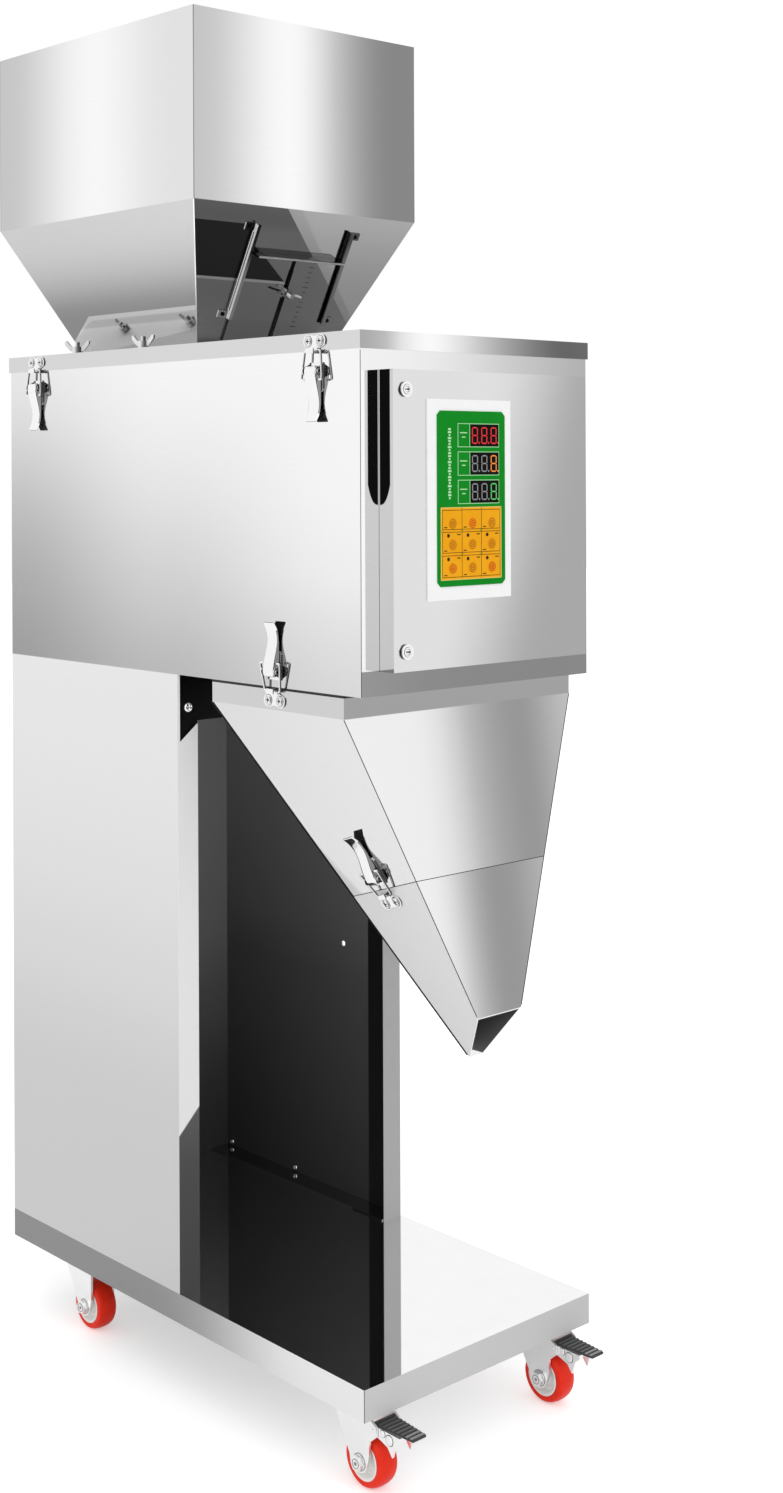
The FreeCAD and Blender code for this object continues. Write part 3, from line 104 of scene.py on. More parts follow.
def math_node(tree, operation, first, second=None, clamp=False):
    """A Math node fed by sockets or plain numbers; gives its output socket."""
    node = tree.nodes.new("ShaderNodeMath")
    node.operation = operation
    node.use_clamp = clamp
    for slot, value in zip(node.inputs, (first, second)):
        if isinstance(value, (int, float)):
            slot.default_value = value
        elif value is not None:
            tree.links.new(value, slot)
    return node.outputs[0]


def make_grain_group():
    """Brushed grain: a noise stretched along one axis, and a slow cloud of finger marks."""
    group, entry, leave = new_group(
        "brushed grain", [("Vector", "NodeSocketVector", None), ("Stretch", "NodeSocketVector", (1, 1, 1))],
        [("Grain", "NodeSocketFloat"), ("Cloud", "NodeSocketFloat")])
    stretch = group.nodes.new("ShaderNodeVectorMath")
    stretch.operation = "MULTIPLY"
    group.links.new(entry.outputs["Vector"], stretch.inputs[0])
    group.links.new(entry.outputs["Stretch"], stretch.inputs[1])
    fine = group.nodes.new("ShaderNodeTexNoise")
    fine.inputs["Scale"].default_value = 1
    fine.inputs["Detail"].default_value = 3
    group.links.new(stretch.outputs[0], fine.inputs["Vector"])
    slow = group.nodes.new("ShaderNodeTexNoise")
    slow.inputs["Scale"].default_value = 7
    slow.inputs["Detail"].default_value = 4
    slow.inputs["Roughness"].default_value = 0.6
    group.links.new(entry.outputs["Vector"], slow.inputs["Vector"])
    group.links.new(fine.outputs["Fac"], leave.inputs["Grain"])
    group.links.new(slow.outputs["Fac"], leave.inputs["Cloud"])
    return group


def make_inside_group():
    """Mask of the faces that look towards an upright line through a centre: a hollow's inner walls."""
    group, entry, leave = new_group(
        "inner walls", [("Centre", "NodeSocketVector", (0, 0, 0)), ("Along", "NodeSocketVector", (1, 1, 0))],
        [("Mask", "NodeSocketFloat")])
    place = group.nodes.new("ShaderNodeTexCoord")
    shape = group.nodes.new("ShaderNodeNewGeometry")
    away = group.nodes.new("ShaderNodeVectorMath")
    away.operation = "SUBTRACT"
    group.links.new(place.outputs["Object"], away.inputs[0])
    group.links.new(entry.outputs["Centre"], away.inputs[1])
    flat = group.nodes.new("ShaderNodeVectorMath")
    flat.operation = "MULTIPLY"
    group.links.new(away.outputs[0], flat.inputs[0])
    group.links.new(entry.outputs["Along"], flat.inputs[1])
    facing = group.nodes.new("ShaderNodeVectorMath")
    facing.operation = "DOT_PRODUCT"
    group.links.new(flat.outputs[0], facing.inputs[0])
    group.links.new(shape.outputs["Normal"], facing.inputs[1])
    mask = math_node(group, "LESS_THAN", facing.outputs["Value"], 0.0)
    group.links.new(mask, leave.inputs["Mask"])
    return group


GRAIN = make_grain_group()
INSIDE = make_inside_group()


def place_group(tree, group, **values):
    """Add a group to a material and set its plain inputs."""
    node = tree.nodes.new("ShaderNodeGroup")
    node.node_tree = group
    for name, value in values.items():
        node.inputs[name].default_value = value
    return node


def new_material(name, color=(0.8, 0.8, 0.8, 1), metallic=0.0, roughness=0.5):
    """A material with its Principled shader; gives the material, its tree and the shader."""
    material = bpy.data.materials.new(name)
    material.use_nodes = True
    tree = material.node_tree
    shader = tree.nodes["Principled BSDF"]
    shader.inputs["Base Color"].default_value = color
    shader.inputs["Metallic"].default_value = metallic
    shader.inputs["Roughness"].default_value = roughness
    return material, tree, shader


def mix_color(tree, factor, first, second, blend="MIX"):
    """A colour mix fed by sockets or plain colours; gives its output socket."""
    node = tree.nodes.new("ShaderNodeMix")
    node.data_type = "RGBA"
    node.blend_type = blend
    for slot, value in ((node.inputs[0], factor), (node.inputs[6], first), (node.inputs[7], second)):
        if isinstance(value, (int, float, tuple)):
            slot.default_value = value
        else:
            tree.links.new(value, slot)
    return node.outputs[2]


def ramp(tree, value, low, high, stops):
    """Colours along a value: stops are (place, level) with places between low and high."""
    spread = tree.nodes.new("ShaderNodeMapRange")
    spread.inputs["From Min"].default_value = low
    spread.inputs["From Max"].default_value = high
    tree.links.new(value, spread.inputs["Value"])
    node = tree.nodes.new("ShaderNodeValToRGB")
    node.color_ramp.interpolation = "EASE" if len(stops) < 3 else "B_SPLINE"
    points = node.color_ramp.elements
    while len(points) < len(stops):
        points.new(0.5)
    for point, (place, level) in zip(points, stops):
        point.position = place
        point.color = grey(level) if isinstance(level, (int, float)) else tint(*level)
    tree.links.new(spread.outputs[0], node.inputs[0])
    return node.outputs[0]


def steel(name, paint, roughness=0.05, stretch=(40, 40, 1500), bump=0.0):
    """Stainless sheet: paint works out its colour and where it is dull; faint grain and finger marks."""
    material, tree, shader = new_material(name, metallic=1.0, roughness=roughness)
    place = tree.nodes.new("ShaderNodeTexCoord").outputs["Object"]
    normal = tree.nodes.new("ShaderNodeNewGeometry").outputs["Normal"]
    where = tree.nodes.new("ShaderNodeSeparateXYZ")
    facing = tree.nodes.new("ShaderNodeSeparateXYZ")
    tree.links.new(place, where.inputs[0])
    tree.links.new(normal, facing.inputs[0])
    color, dull = paint(tree, where.outputs, facing.outputs)
    grain = place_group(tree, GRAIN, Stretch=stretch)
    tree.links.new(place, grain.inputs["Vector"])
    streak = ramp(tree, grain.outputs["Grain"], 0.3, 0.7, [(0, 253.4), (1, 255)])
    color = mix_color(tree, 1.0, color, streak, "MULTIPLY")
    tree.links.new(color, shader.inputs["Base Color"])
    rough = tree.nodes.new("ShaderNodeMapRange")
    rough.inputs["To Min"].default_value = roughness * 0.7
    rough.inputs["To Max"].default_value = roughness * 1.3
    tree.links.new(grain.outputs["Cloud"], rough.inputs["Value"])
    soft = rough.outputs[0]
    if dull is not None:
        tree.links.new(math_node(tree, "SUBTRACT", 1.0, dull), shader.inputs["Metallic"])
        soft = math_node(tree, "MAXIMUM", soft, math_node(tree, "MULTIPLY", dull, 0.7))
    tree.links.new(soft, shader.inputs["Roughness"])
    if bump:
        relief = tree.nodes.new("ShaderNodeBump")
        relief.inputs["Strength"].default_value = bump
        relief.inputs["Distance"].default_value = 0.0004
        tree.links.new(grain.outputs["Grain"], relief.inputs["Height"])
        tree.links.new(relief.outputs[0], shader.inputs["Normal"])
    return material


X, Y, Z = 0, 1, 2


def faces(tree, facing, axis, sign, limit=0.6):
    """Mask of faces that look one way along an axis: x, y or z, up or down it."""
    return math_node(tree, "GREATER_THAN", math_node(tree, "MULTIPLY", facing[axis], float(sign)), limit)


def inside_of(tree, centre_y, along=(1, 1, 0)):
    """Mask of the inner walls of a hollow round an upright line."""
    node = place_group(tree, INSIDE, Centre=(0, centre_y * MM, 0), Along=along)
    return node.outputs["Mask"]


def beyond(tree, value, edge, soft=1.0):
    """Mask that turns from 0 to 1 where a length in metres passes an edge given in millimetres."""
    node = tree.nodes.new("ShaderNodeMapRange")
    node.interpolation_type = "SMOOTHSTEP"
    node.inputs["From Min"].default_value = (edge - soft / 2) * MM
    node.inputs["From Max"].default_value = (edge + soft / 2) * MM
    tree.links.new(value, node.inputs["Value"])
    return node.outputs[0]


def slant(tree, where, first, second, rate):
    """A length measured askew: the first axis plus rate times the second."""
    return math_node(tree, "ADD", where[first], math_node(tree, "MULTIPLY", where[second], rate))


def side_tone(tree, where, axis, low, high, stops):
    """A soft band of tones along an axis, in millimetres."""
    return ramp(tree, where[axis], low * MM, high * MM, stops)


def both(tree, *masks):
    """Where every mask is set."""
    result = masks[0]
    for mask in masks[1:]:
        result = math_node(tree, "MULTIPLY", result, mask)
    return result


def flip(tree, mask):
    """The other side of a mask."""
    return math_node(tree, "SUBTRACT", 1.0, mask)


def short_of(tree, value, edge, soft=1.0):
    """Mask that turns from 1 to 0 where a length in metres passes an edge given in millimetres."""
    return flip(tree, beyond(tree, value, edge, soft))


def side_mask(tree, where, low, high):
    """Slow fade from none to full between two heights."""
    node = tree.nodes.new("ShaderNodeMapRange")
    node.inputs["From Min"].default_value = low * MM
    node.inputs["From Max"].default_value = high * MM
    tree.links.new(where[Z], node.inputs["Value"])
    return node.outputs[0]


def cone_reflection(tree, where):
    """Painted reflection of what the cone's front and the gate plate mirror: grey, a black patch, and a paler
    slanted field; painted shade in the gate's slot and a painted shadow line beside the left guide.
    """
    dark = side_tone(tree, where, Z, LID_TOP, CONE_TOP - 0.5, [
        (0, 122), (0.22, 112), (0.4, 104), (0.84, 104), (0.9, 90), (1, 98)])
    pale = side_tone(tree, where, Z, LID_TOP, CONE_TOP - 0.5, [
        (0, 126), (0.3, 132), (0.55, 138), (0.8, 154), (1, 168)])
    tone = mix_color(tree, beyond(tree, slant(tree, where, X, Z, 1.2), 1405.5, 1.2), dark, pale)
    left = short_of(tree, where[X], -57, 0.6)
    left = math_node(tree, "MAXIMUM", left, short_of(tree, slant(tree, where, X, Z, 1.565), 1754.6, 1.2))
    under = short_of(tree, where[Z], 1177, 1.0)
    tone = mix_color(tree, both(tree, left, under, beyond(tree, where[Z], 1124, 0.8)), tone, grey(37))
    line = both(tree, left, beyond(tree, where[Z], 1121.6, 0.6), short_of(tree, where[Z], 1124.2, 0.6))
    tone = mix_color(tree, line, tone, grey(140))
    middle = math_node(tree, "ABSOLUTE", where[X])
    # painted shade: the gate's slot painted black
    slot_shade = both(tree, short_of(tree, middle, 2.6, 0.4), short_of(tree, where[Z], 1148, 0.4))
    # painted shadow: a black line just right of the left guide
    edge = both(tree, beyond(tree, where[X], -61.8, 0.2), short_of(tree, where[X], -60.6, 0.2),
                short_of(tree, where[Z], 1086, 0.4))
    return mix_color(tree, math_node(tree, "MAXIMUM", slot_shade, edge), tone, grey(8))


def paint_hopper(tree, where, facing):
    """Painted reflections: bright bands round the bin, a mirrored dark patch on the cone's front, the lid
    mirrored low on the cone's sides; painted shade on the cone's sides.
    """
    front = side_tone(tree, where, X, -HALF_WIDTH, HALF_WIDTH, [
        (0, 196), (0.1, 202), (0.2, 222), (0.3, 242), (0.42, 254), (0.52, 236), (0.62, 196), (0.74, 156),
        (0.86, 132), (1, 137)])
    side = side_tone(tree, where, Y, CONE_FRONT, HOPPER_BACK, [
        (0, 226), (0.15, 226), (0.3, 238), (0.46, 251), (0.6, 242), (0.74, 222), (0.88, 198), (1, 196)])
    cone_side = side_tone(tree, where, Z, LID_TOP, CONE_TOP - 0.5, [
        (0, 138), (0.3, 139), (0.36, 145), (0.42, 156), (0.5, 174), (0.6, 191), (0.72, 204),
        (0.85, 211), (1, 213)])
    # painted reflection of the lid, in a slanted field low on the cone's sides
    mirrored = mix_color(tree, beyond(tree, where[Z], 1083.0, 3.0), grey(214), grey(190))
    field = both(tree, short_of(tree, where[Z], 1095.5, 0.6),
                 short_of(tree, slant(tree, where, Y, Z, 1.76), 2141, 0.8))
    cone_side = mix_color(tree, field, cone_side, mirrored)
    cone_side = mix_color(tree, faces(tree, facing, Y, 1, 0.5), cone_side, grey(208))
    fade = side_tone(tree, where, Y, CONE_FRONT, HOPPER_BACK, [(0, 255), (1, 246)])
    cone_side = mix_color(tree, 1.0, cone_side, fade, "MULTIPLY")
    bin_wall = beyond(tree, where[Z], CONE_TOP - 0.3, 0.6)
    front_face = faces(tree, facing, Y, -1, 0.5)
    outer_front = mix_color(tree, bin_wall, cone_reflection(tree, where), front)
    outer_side = mix_color(tree, bin_wall, cone_side, side)
    color = mix_color(tree, front_face, outer_side, outer_front)
    inner = side_tone(tree, where, Z, 1000, 1386, [(0, 226), (1, 240)])
    hollow = inside_of(tree, 143)
    low = flip(tree, side_mask(tree, where, 1060, 1110))
    soft = both(tree, low, front_face)
    soft = math_node(tree, "MULTIPLY", soft, 0.55)
    flat = faces(tree, facing, Z, 1)
    color = mix_color(tree, flat, color, grey(254))
    plain_faces = math_node(tree, "MULTIPLY", math_node(tree, "MAXIMUM", hollow, flat), 0.75)
    return mix_color(tree, hollow, color, inner), math_node(tree, "MAXIMUM", plain_faces, soft)


def paint_lid(tree, where, facing):
    """Painted reflections on the skirt: pale, darker to the right in front; a soft near-white top."""
    front = side_tone(tree, where, X, -HALF_WIDTH, HALF_WIDTH, [
        (0, 168), (0.1, 186), (0.16, 228), (0.26, 255), (0.36, 243), (0.5, 197), (0.65, 151), (0.8, 108),
        (0.9, 98), (1, 106)])
    side = side_tone(tree, where, Y, FRONT, BACK, [(0, 217), (0.6, 215), (1, 213)])
    color = mix_color(tree, faces(tree, facing, Y, -1), side, front)
    top = faces(tree, facing, Z, 1)
    return mix_color(tree, top, color, grey(254)), math_node(tree, "MULTIPLY", top, 0.7)


def paint_box(tree, where, facing):
    """Painted reflections and shade: left side near white at the top and front, greyer low down and to the
    back; front greyer low down; inner walls painted grey.
    """
    near = side_tone(tree, where, Z, BOX_BOTTOM, BOX_TOP, [
        (0, 215), (0.2, 228), (0.35, 240), (0.6, 246), (1, 247)])
    middle = side_tone(tree, where, Z, BOX_BOTTOM, BOX_TOP, [
        (0, 182), (0.2, 200), (0.45, 220), (0.65, 233), (0.85, 243), (1, 246)])
    far = side_tone(tree, where, Z, BOX_BOTTOM, BOX_TOP, [
        (0, 154), (0.2, 166), (0.4, 179), (0.6, 197), (0.8, 219), (1, 234)])
    front_half = side_tone(tree, where, Y, FRONT, 8, [(0, 0), (1, 255)])
    back_half = side_tone(tree, where, Y, 8, BACK, [(0, 0), (1, 255)])
    side = mix_color(tree, back_half, mix_color(tree, front_half, near, middle), far)
    left_strip = side_tone(tree, where, Z, BOX_BOTTOM, BOX_TOP, [(0, 234), (0.1, 248), (1, 250)])
    low_strip = side_tone(tree, where, X, -HALF_WIDTH, HALF_WIDTH, [(0, 152), (0.3, 136), (1, 136)])
    top_strip = side_tone(tree, where, X, -HALF_WIDTH, HALF_WIDTH, [
        (0, 242), (0.3, 238), (0.6, 208), (1, 170)])
    right_strip = side_tone(tree, where, Z, BOX_BOTTOM, BOX_TOP, [
        (0, 136), (0.45, 138), (0.6, 165), (1, 170)])
    front = mix_color(tree, beyond(tree, where[Z], 1016, 1), left_strip, top_strip)
    front = mix_color(tree, short_of(tree, where[Z], 746, 1), front, low_strip)
    right_of = both(tree, beyond(tree, where[X], 127, 1), short_of(tree, where[Z], 1017, 1))
    front = mix_color(tree, right_of, front, right_strip)
    color = mix_color(tree, faces(tree, facing, Y, -1), side, front)
    return mix_color(tree, inside_of(tree, 8), color, grey(150)), None


def paint_door(tree, where, facing):
    """Painted reflections: pale left, a slanted fall to grey at the right; a black mirrored patch on the
    upper left return.
    """
    lean = slant(tree, where, X, Z, -0.3)
    low = -344.0
    front = ramp(tree, lean, low * MM, (low + 200) * MM, [
        (0, 224), (0.18, 225), (0.3, 221), (0.42, 211), (0.55, 198), (0.68, 183), (0.82, 170), (1, 168)])
    side = side_tone(tree, where, Z, 745, 1017, [(0, 205), (0.4, 210), (1, 212)])
    curve = math_node(tree, "DIVIDE", math_node(tree, "SUBTRACT", -0.285, where[Y]), 0.013)
    curve = math_node(tree, "MULTIPLY", math_node(tree, "POWER", curve, 3.0), 0.012)
    patch = both(tree, beyond(tree, math_node(tree, "SUBTRACT", where[Z], curve), 895, 1.0),
                 beyond(tree, where[Y], -300.0, 0.4), short_of(tree, where[Y], -286.2, 0.3))
    side = mix_color(tree, patch, side, grey(4))
    return mix_color(tree, faces(tree, facing, X, -1), front, side), None


def paint_column(tree, where, facing):
    """Painted light and shade: pale outside that darkens a little downwards, dark inner walls that darken
    downwards with a black band just behind the front, bright front flanges with a patch of painted shade low
    on the left one.
    """
    side = side_tone(tree, where, Z, 104, BOX_BOTTOM, [
        (0, 200), (0.3, 200), (0.45, 210), (0.7, 225), (1, 233)])
    # painted shade low on the left flange, below a slanted edge
    low = side_tone(tree, where, Z, 104, 290, [(0, 60), (0.7, 66), (1, 92)])
    pale = side_tone(tree, where, Z, 290, 700, [(0, 243), (0.4, 250), (1, 255)])
    left = mix_color(tree, beyond(tree, slant(tree, where, Z, X, -1.0), 412, 2.5), low, pale)
    front = mix_color(tree, beyond(tree, where[X], 0, 1), left, grey(182))
    flange = faces(tree, facing, Y, -1, 0.9)
    color = mix_color(tree, flange, side, front)
    right_wall = side_tone(tree, where, Z, 104, BOX_BOTTOM, [
        (0, 62), (0.15, 68), (0.4, 98), (0.48, 115), (0.65, 143), (0.8, 166), (1, 178)])
    back_wall = side_tone(tree, where, Z, 104, BOX_BOTTOM, [
        (0, 60), (0.15, 66), (0.32, 116), (0.42, 136), (0.65, 167), (0.85, 180), (1, 188)])
    inner = mix_color(tree, flange, right_wall, back_wall)
    # painted shadow: the inner walls black just behind the front flanges
    inner = mix_color(tree, short_of(tree, where[Y], 42, 1.5), inner, grey(4))
    hollow = both(tree, inside_of(tree, 140), beyond(tree, where[Y], -6.7, 0.2))
    return mix_color(tree, hollow, color, inner), math_node(tree, "MAXIMUM", hollow, flange)


def paint_funnel(tree, where, facing):
    """Painted reflections: bright left of the middle in front, a grey dip right of it, pale sides, a grey rim
    in front; the inside painted a shaded grey.
    """
    front = side_tone(tree, where, X, -HALF_WIDTH, HALF_WIDTH, [
        (0, 239), (0.28, 240), (0.38, 228), (0.46, 204), (0.52, 184), (0.6, 165), (0.7, 151), (0.78, 150),
        (0.88, 172), (1, 196)])
    side = side_tone(tree, where, Y, -300, -66, [(0, 230), (0.5, 225), (1, 218)])
    rim = both(tree, beyond(tree, where[Z], RIM_LOW + 0.4, 0.6), faces(tree, facing, Y, -1, 0.985))
    front = mix_color(tree, rim, front, grey(161))
    rim_side = both(tree, beyond(tree, where[Z], RIM_LOW + 0.4, 0.6), faces(tree, facing, X, -1, 0.985))
    side = mix_color(tree, rim_side, side, grey(207))
    color = mix_color(tree, faces(tree, facing, Y, -1, 0.9), side, front)
    return mix_color(tree, inside_of(tree, -180), color, grey(120)), None


def paint_nozzle(tree, where, facing):
    """As the upper funnel's painted reflections, its bands drawn closer together; the inside painted a shaded
    grey.
    """
    front = side_tone(tree, where, X, -90, 90, [
        (0, 240), (0.15, 240), (0.26, 222), (0.36, 192), (0.46, 165), (0.56, 150), (0.68, 151),
        (0.8, 160), (1, 186)])
    side = side_tone(tree, where, Y, -320, -130, [(0, 244), (0.5, 238), (1, 230)])
    color = mix_color(tree, faces(tree, facing, Y, -1, 0.9), side, front)
    sides = math_node(tree, "GREATER_THAN", math_node(tree, "ABSOLUTE", facing[X]), 0.6)
    return mix_color(tree, inside_of(tree, -250), color, grey(110)), math_node(tree, "MULTIPLY", sides, 0.85)


def paint_base(tree, where, facing):
    """Painted reflections: near-white mirror deck, a soft grey front skirt, and side skirts that turn grey to
    the back.
    """
    side = side_tone(tree, where, Y, FRONT, BACK, [
        (0, 236), (0.12, 237), (0.24, 226), (0.4, 160), (0.56, 140), (1, 139)])
    front = side_tone(tree, where, X, -HALF_WIDTH, HALF_WIDTH, [(0, 212), (1, 206)])
    ahead = faces(tree, facing, Y, -1)
    color = mix_color(tree, ahead, side, front)
    color = mix_color(tree, faces(tree, facing, Z, 1), color, grey(246))
    return color, math_node(tree, "MULTIPLY", ahead, 0.9)


def paint_fittings(tree, where, facing):
    """Guide strips with painted reflections dark in front and painted highlights on their soft left faces,
    the right strip in the cone's mirrored tone with a black painted shadow line; wing nuts.
    """
    bright, _ = paint_bright(tree, where, facing)
    high = beyond(tree, where[Z], 1078, 1)
    ahead = faces(tree, facing, Y, -1, 0.3)
    left = faces(tree, facing, X, -1, 0.6)
    strip = side_tone(tree, where, Z, 1078, 1180, [(0, 140), (0.5, 124), (0.6, 84), (0.68, 34), (1, 22)])
    color = mix_color(tree, both(tree, high, ahead), bright, strip)
    far = both(tree, high, beyond(tree, where[X], 55, 1))
    tone = side_tone(tree, where, Z, 1078, 1180, [(0, 112), (0.6, 106), (0.8, 88), (0.92, 60), (1, 84)])
    raised = short_of(tree, slant(tree, where, Y, Z, CONE_FRONT_RATE), 606.0, 0.4)
    # painted shadow: a black line on the right strip's side faces
    far_color = mix_color(tree, math_node(tree, "MAXIMUM", ahead, raised), grey(14), tone)
    color = mix_color(tree, far, color, far_color)
    # painted highlight: the left faces of the strips near white
    lit_left_faces = both(tree, high, left, flip(tree, far))
    nuts = math_node(tree, "MULTIPLY", flip(tree, high), 0.6)
    soft = math_node(tree, "MAXIMUM", both(tree, high, left), nuts)
    return mix_color(tree, lit_left_faces, color, grey(254)), soft


def paint_bright(tree, where, facing):
    """Pressed fittings: white, with the faces that look forwards mirrored dark."""
    tone = ramp(tree, facing[Y], -1.0, 1.0, [
        (0, 70), (0.1, 96), (0.24, 214), (0.4, 246), (0.8, 244), (1, 190)])
    return tone, None


def paint_lock(tree, where, facing):
    """White lock face with a grey side whose painted shade darkens close to the door."""
    side = side_tone(tree, where, Y, -307, -304, [(0, 206), (0.45, 190), (0.6, 40), (1, 24)])
    return mix_color(tree, faces(tree, facing, Y, -1), side, grey(246)), None


def paint_pedal(tree, where, facing):
    """Zinc cheeks under a dark ribbed pad whose end band is paler."""
    pad = beyond(tree, where[Z], 64.25, 0.1)
    band = mix_color(tree, beyond(tree, where[Y], -313, 0.4), grey(150), grey(96))
    ribs = mix_color(tree, beyond(tree, where[Z], 66.3, 0.1), grey(60), band)
    return mix_color(tree, pad, grey(247), ribs), math_node(tree, "MULTIPLY", pad, 0.8)


def plain(level):
    """Paint of one even tone."""
    def paint(tree, where, facing):
        return side_tone(tree, where, Z, 0, 1400, [(0, level - 4), (1, level + 4)]), None
    return paint


def paint_gate(tree, where, facing):
    """The gate plate mirrors what the cone does."""
    return cone_reflection(tree, where), None


HOPPER_STEEL = steel("polished hopper sheet", paint_hopper, 0.06, (40, 40, 900))
LID_STEEL = steel("lid sheet", paint_lid, 0.08)
BOX_STEEL = steel("box sheet", paint_box, 0.04)
DOOR_STEEL = steel("door sheet", paint_door, 0.05)
COLUMN_STEEL = steel("column sheet", paint_column, 0.05)
FUNNEL_STEEL = steel("funnel sheet", paint_funnel, 0.06)
NOZZLE_STEEL = steel("nozzle sheet", paint_nozzle, 0.06)
BASE_STEEL = steel("deck sheet", paint_base, 0.02)
WORKS_STEEL = steel("feeder sheet", plain(190), 0.3)
GATE_STEEL = steel("gate sheet", paint_gate, 0.08)
GUIDE_STEEL = steel("bright hopper fittings", paint_fittings, 0.12, (300, 300, 300))
FITTING_STEEL = steel("bright pressed fittings", paint_bright, 0.1, (300, 300, 300))
# Lit and shaded copies of one stainless sheet, painted light and shade: a lit white face, grey flanges, a
# dark shaded edge and a black hollow; they serve other small bright and dark marks too.
HANDLE_WHITE = steel("lever's outer face", plain(243), 0.08, (300, 300, 300))
HANDLE_GREY = steel("lever's side flange", plain(150), 0.1, (300, 300, 300))
HANDLE_DARK = steel("lever's shaded edge", plain(52), 0.1, (300, 300, 300))
HANDLE_INSIDE = steel("lever's hollow", plain(14), 0.3, (300, 300, 300))
LOCK_CHROME = steel("lock chrome", paint_lock, 0.12, (300, 300, 300))
ZINC_STEEL = steel("zinc plated fork", plain(250), 0.3, (90, 90, 90), 0.04)
PEDAL_FINISH = steel("brake pedal", paint_pedal, 0.25, (120, 120, 120), 0.05)
DARK_PAINT = steel("dark bracket paint", plain(34), 0.3, (200, 200, 200), 0.05)
DRIVE_PAINT = steel("drive housing paint", plain(90), 0.5, (200, 200, 200), 0.08)
CELL_ALUMINIUM = steel("milled aluminium", plain(205), 0.32, (900, 30, 900), 0.05)


def coated(name, color, dark, roughness=0.45, scale=90.0, bump=0.08, coat=0.0, sheen=0.5):
    """Moulded or painted surface: two near tones in a fine mottle, with a faint skin."""
    material, tree, shader = new_material(name, roughness=roughness)
    shader.inputs["Specular IOR Level"].default_value = sheen
    place = tree.nodes.new("ShaderNodeTexCoord").outputs["Object"]
    noise = tree.nodes.new("ShaderNodeTexNoise")
    noise.inputs["Scale"].default_value = scale
    noise.inputs["Detail"].default_value = 4
    tree.links.new(place, noise.inputs["Vector"])
    spread = tree.nodes.new("ShaderNodeMapRange")
    spread.inputs["From Min"].default_value = 0.3
    spread.inputs["From Max"].default_value = 0.7
    tree.links.new(noise.outputs["Fac"], spread.inputs["Value"])
    tree.links.new(mix_color(tree, spread.outputs[0], tint(*color), tint(*dark)), shader.inputs["Base Color"])
    fine = tree.nodes.new("ShaderNodeTexNoise")
    fine.inputs["Scale"].default_value = 2400
    fine.inputs["Detail"].default_value = 2
    tree.links.new(place, fine.inputs["Vector"])
    relief = tree.nodes.new("ShaderNodeBump")
    relief.inputs["Strength"].default_value = bump
    relief.inputs["Distance"].default_value = 0.0002
    tree.links.new(fine.outputs["Fac"], relief.inputs["Height"])
    tree.links.new(relief.outputs[0], shader.inputs["Normal"])
    shader.inputs["Coat Weight"].default_value = coat
    return material


RED_TYRE = coated("red polyurethane tyre", (252, 52, 24), (244, 42, 18), 0.35, 60, 0.03, 0.0, 0.2)
WHITE_HUB = coated("white nylon hub", (255, 254, 251), (250, 248, 245), 0.4)
WHITE_PLATE = coated("white coated plate", (255, 255, 255), (252, 252, 253), 0.35)
GREEN_FILM = coated("green keypad film", (6, 142, 32), (4, 134, 28), 0.5, 40, 0.02, 0.0, 0.08)
AMBER_FILM = coated("amber keypad film", (250, 176, 22), (246, 168, 16), 0.5, 60, 0.02, 0.0, 0.08)
PALE_INK = coated("pale green ink", (186, 240, 182), (176, 232, 174), 0.5, 90, 0.0, 0.0, 0.1)
DARK_INK = coated("dark ink", (60, 42, 16), (52, 36, 12), 0.5, 90, 0.0, 0.0, 0.1)
BROWN_INK = coated("brown ink", (176, 100, 16), (164, 92, 12), 0.5, 90, 0.0, 0.0, 0.1)
RED_INK = coated("red ink", (206, 44, 22), (196, 36, 18), 0.5, 90, 0.0, 0.0, 0.1)
CIRCUIT_GREEN = coated("coated circuit board", (26, 96, 60), (20, 84, 50), 0.4)

WINDOW_BLACK = coated("black readout window", (12, 11, 13), (9, 8, 10), 0.5, 90, 0.0, 0.0, 0.05)
PALE_AMBER = coated("pale amber border", (248, 214, 120), (242, 206, 108), 0.45)
RIM_SHADOW_BLACK = coated("black rim shadow", (14, 14, 15), (10, 10, 11), 0.6)
DARK_SEAM = steel("ground seam", plain(120), 0.3, (300, 300, 300))
EDGE_SHADE = steel("shaded sheet edge", plain(40), 0.4, (300, 300, 300))


def glow(name, color, strength):
    """Lit readout bar: its colour, a little of its own light, and a faint unevenness."""
    material, tree, shader = new_material(name, tint(*color), 0.0, 0.4)
    noise = tree.nodes.new("ShaderNodeTexNoise")
    noise.inputs["Scale"].default_value = 400
    tree.links.new(tree.nodes.new("ShaderNodeTexCoord").outputs["Object"], noise.inputs["Vector"])
    deeper = tint(*[max(level - 18, 0) for level in color])
    light = mix_color(tree, noise.outputs["Fac"], tint(*color), deeper)
    tree.links.new(light, shader.inputs["Base Color"])
    tree.links.new(light, shader.inputs["Emission Color"])
    shader.inputs["Emission Strength"].default_value = strength
    return material


# The unlit bars also get a faint painted glow.
DIGIT_GLOW = {
    "red": glow("red readout", (226, 28, 30), 0.35), "orange": glow("orange readout", (240, 140, 50), 0.35),
    "green": glow("green readout", (90, 200, 100), 0.3), "dim": glow("unlit readout", (150, 150, 152), 0.05),
}

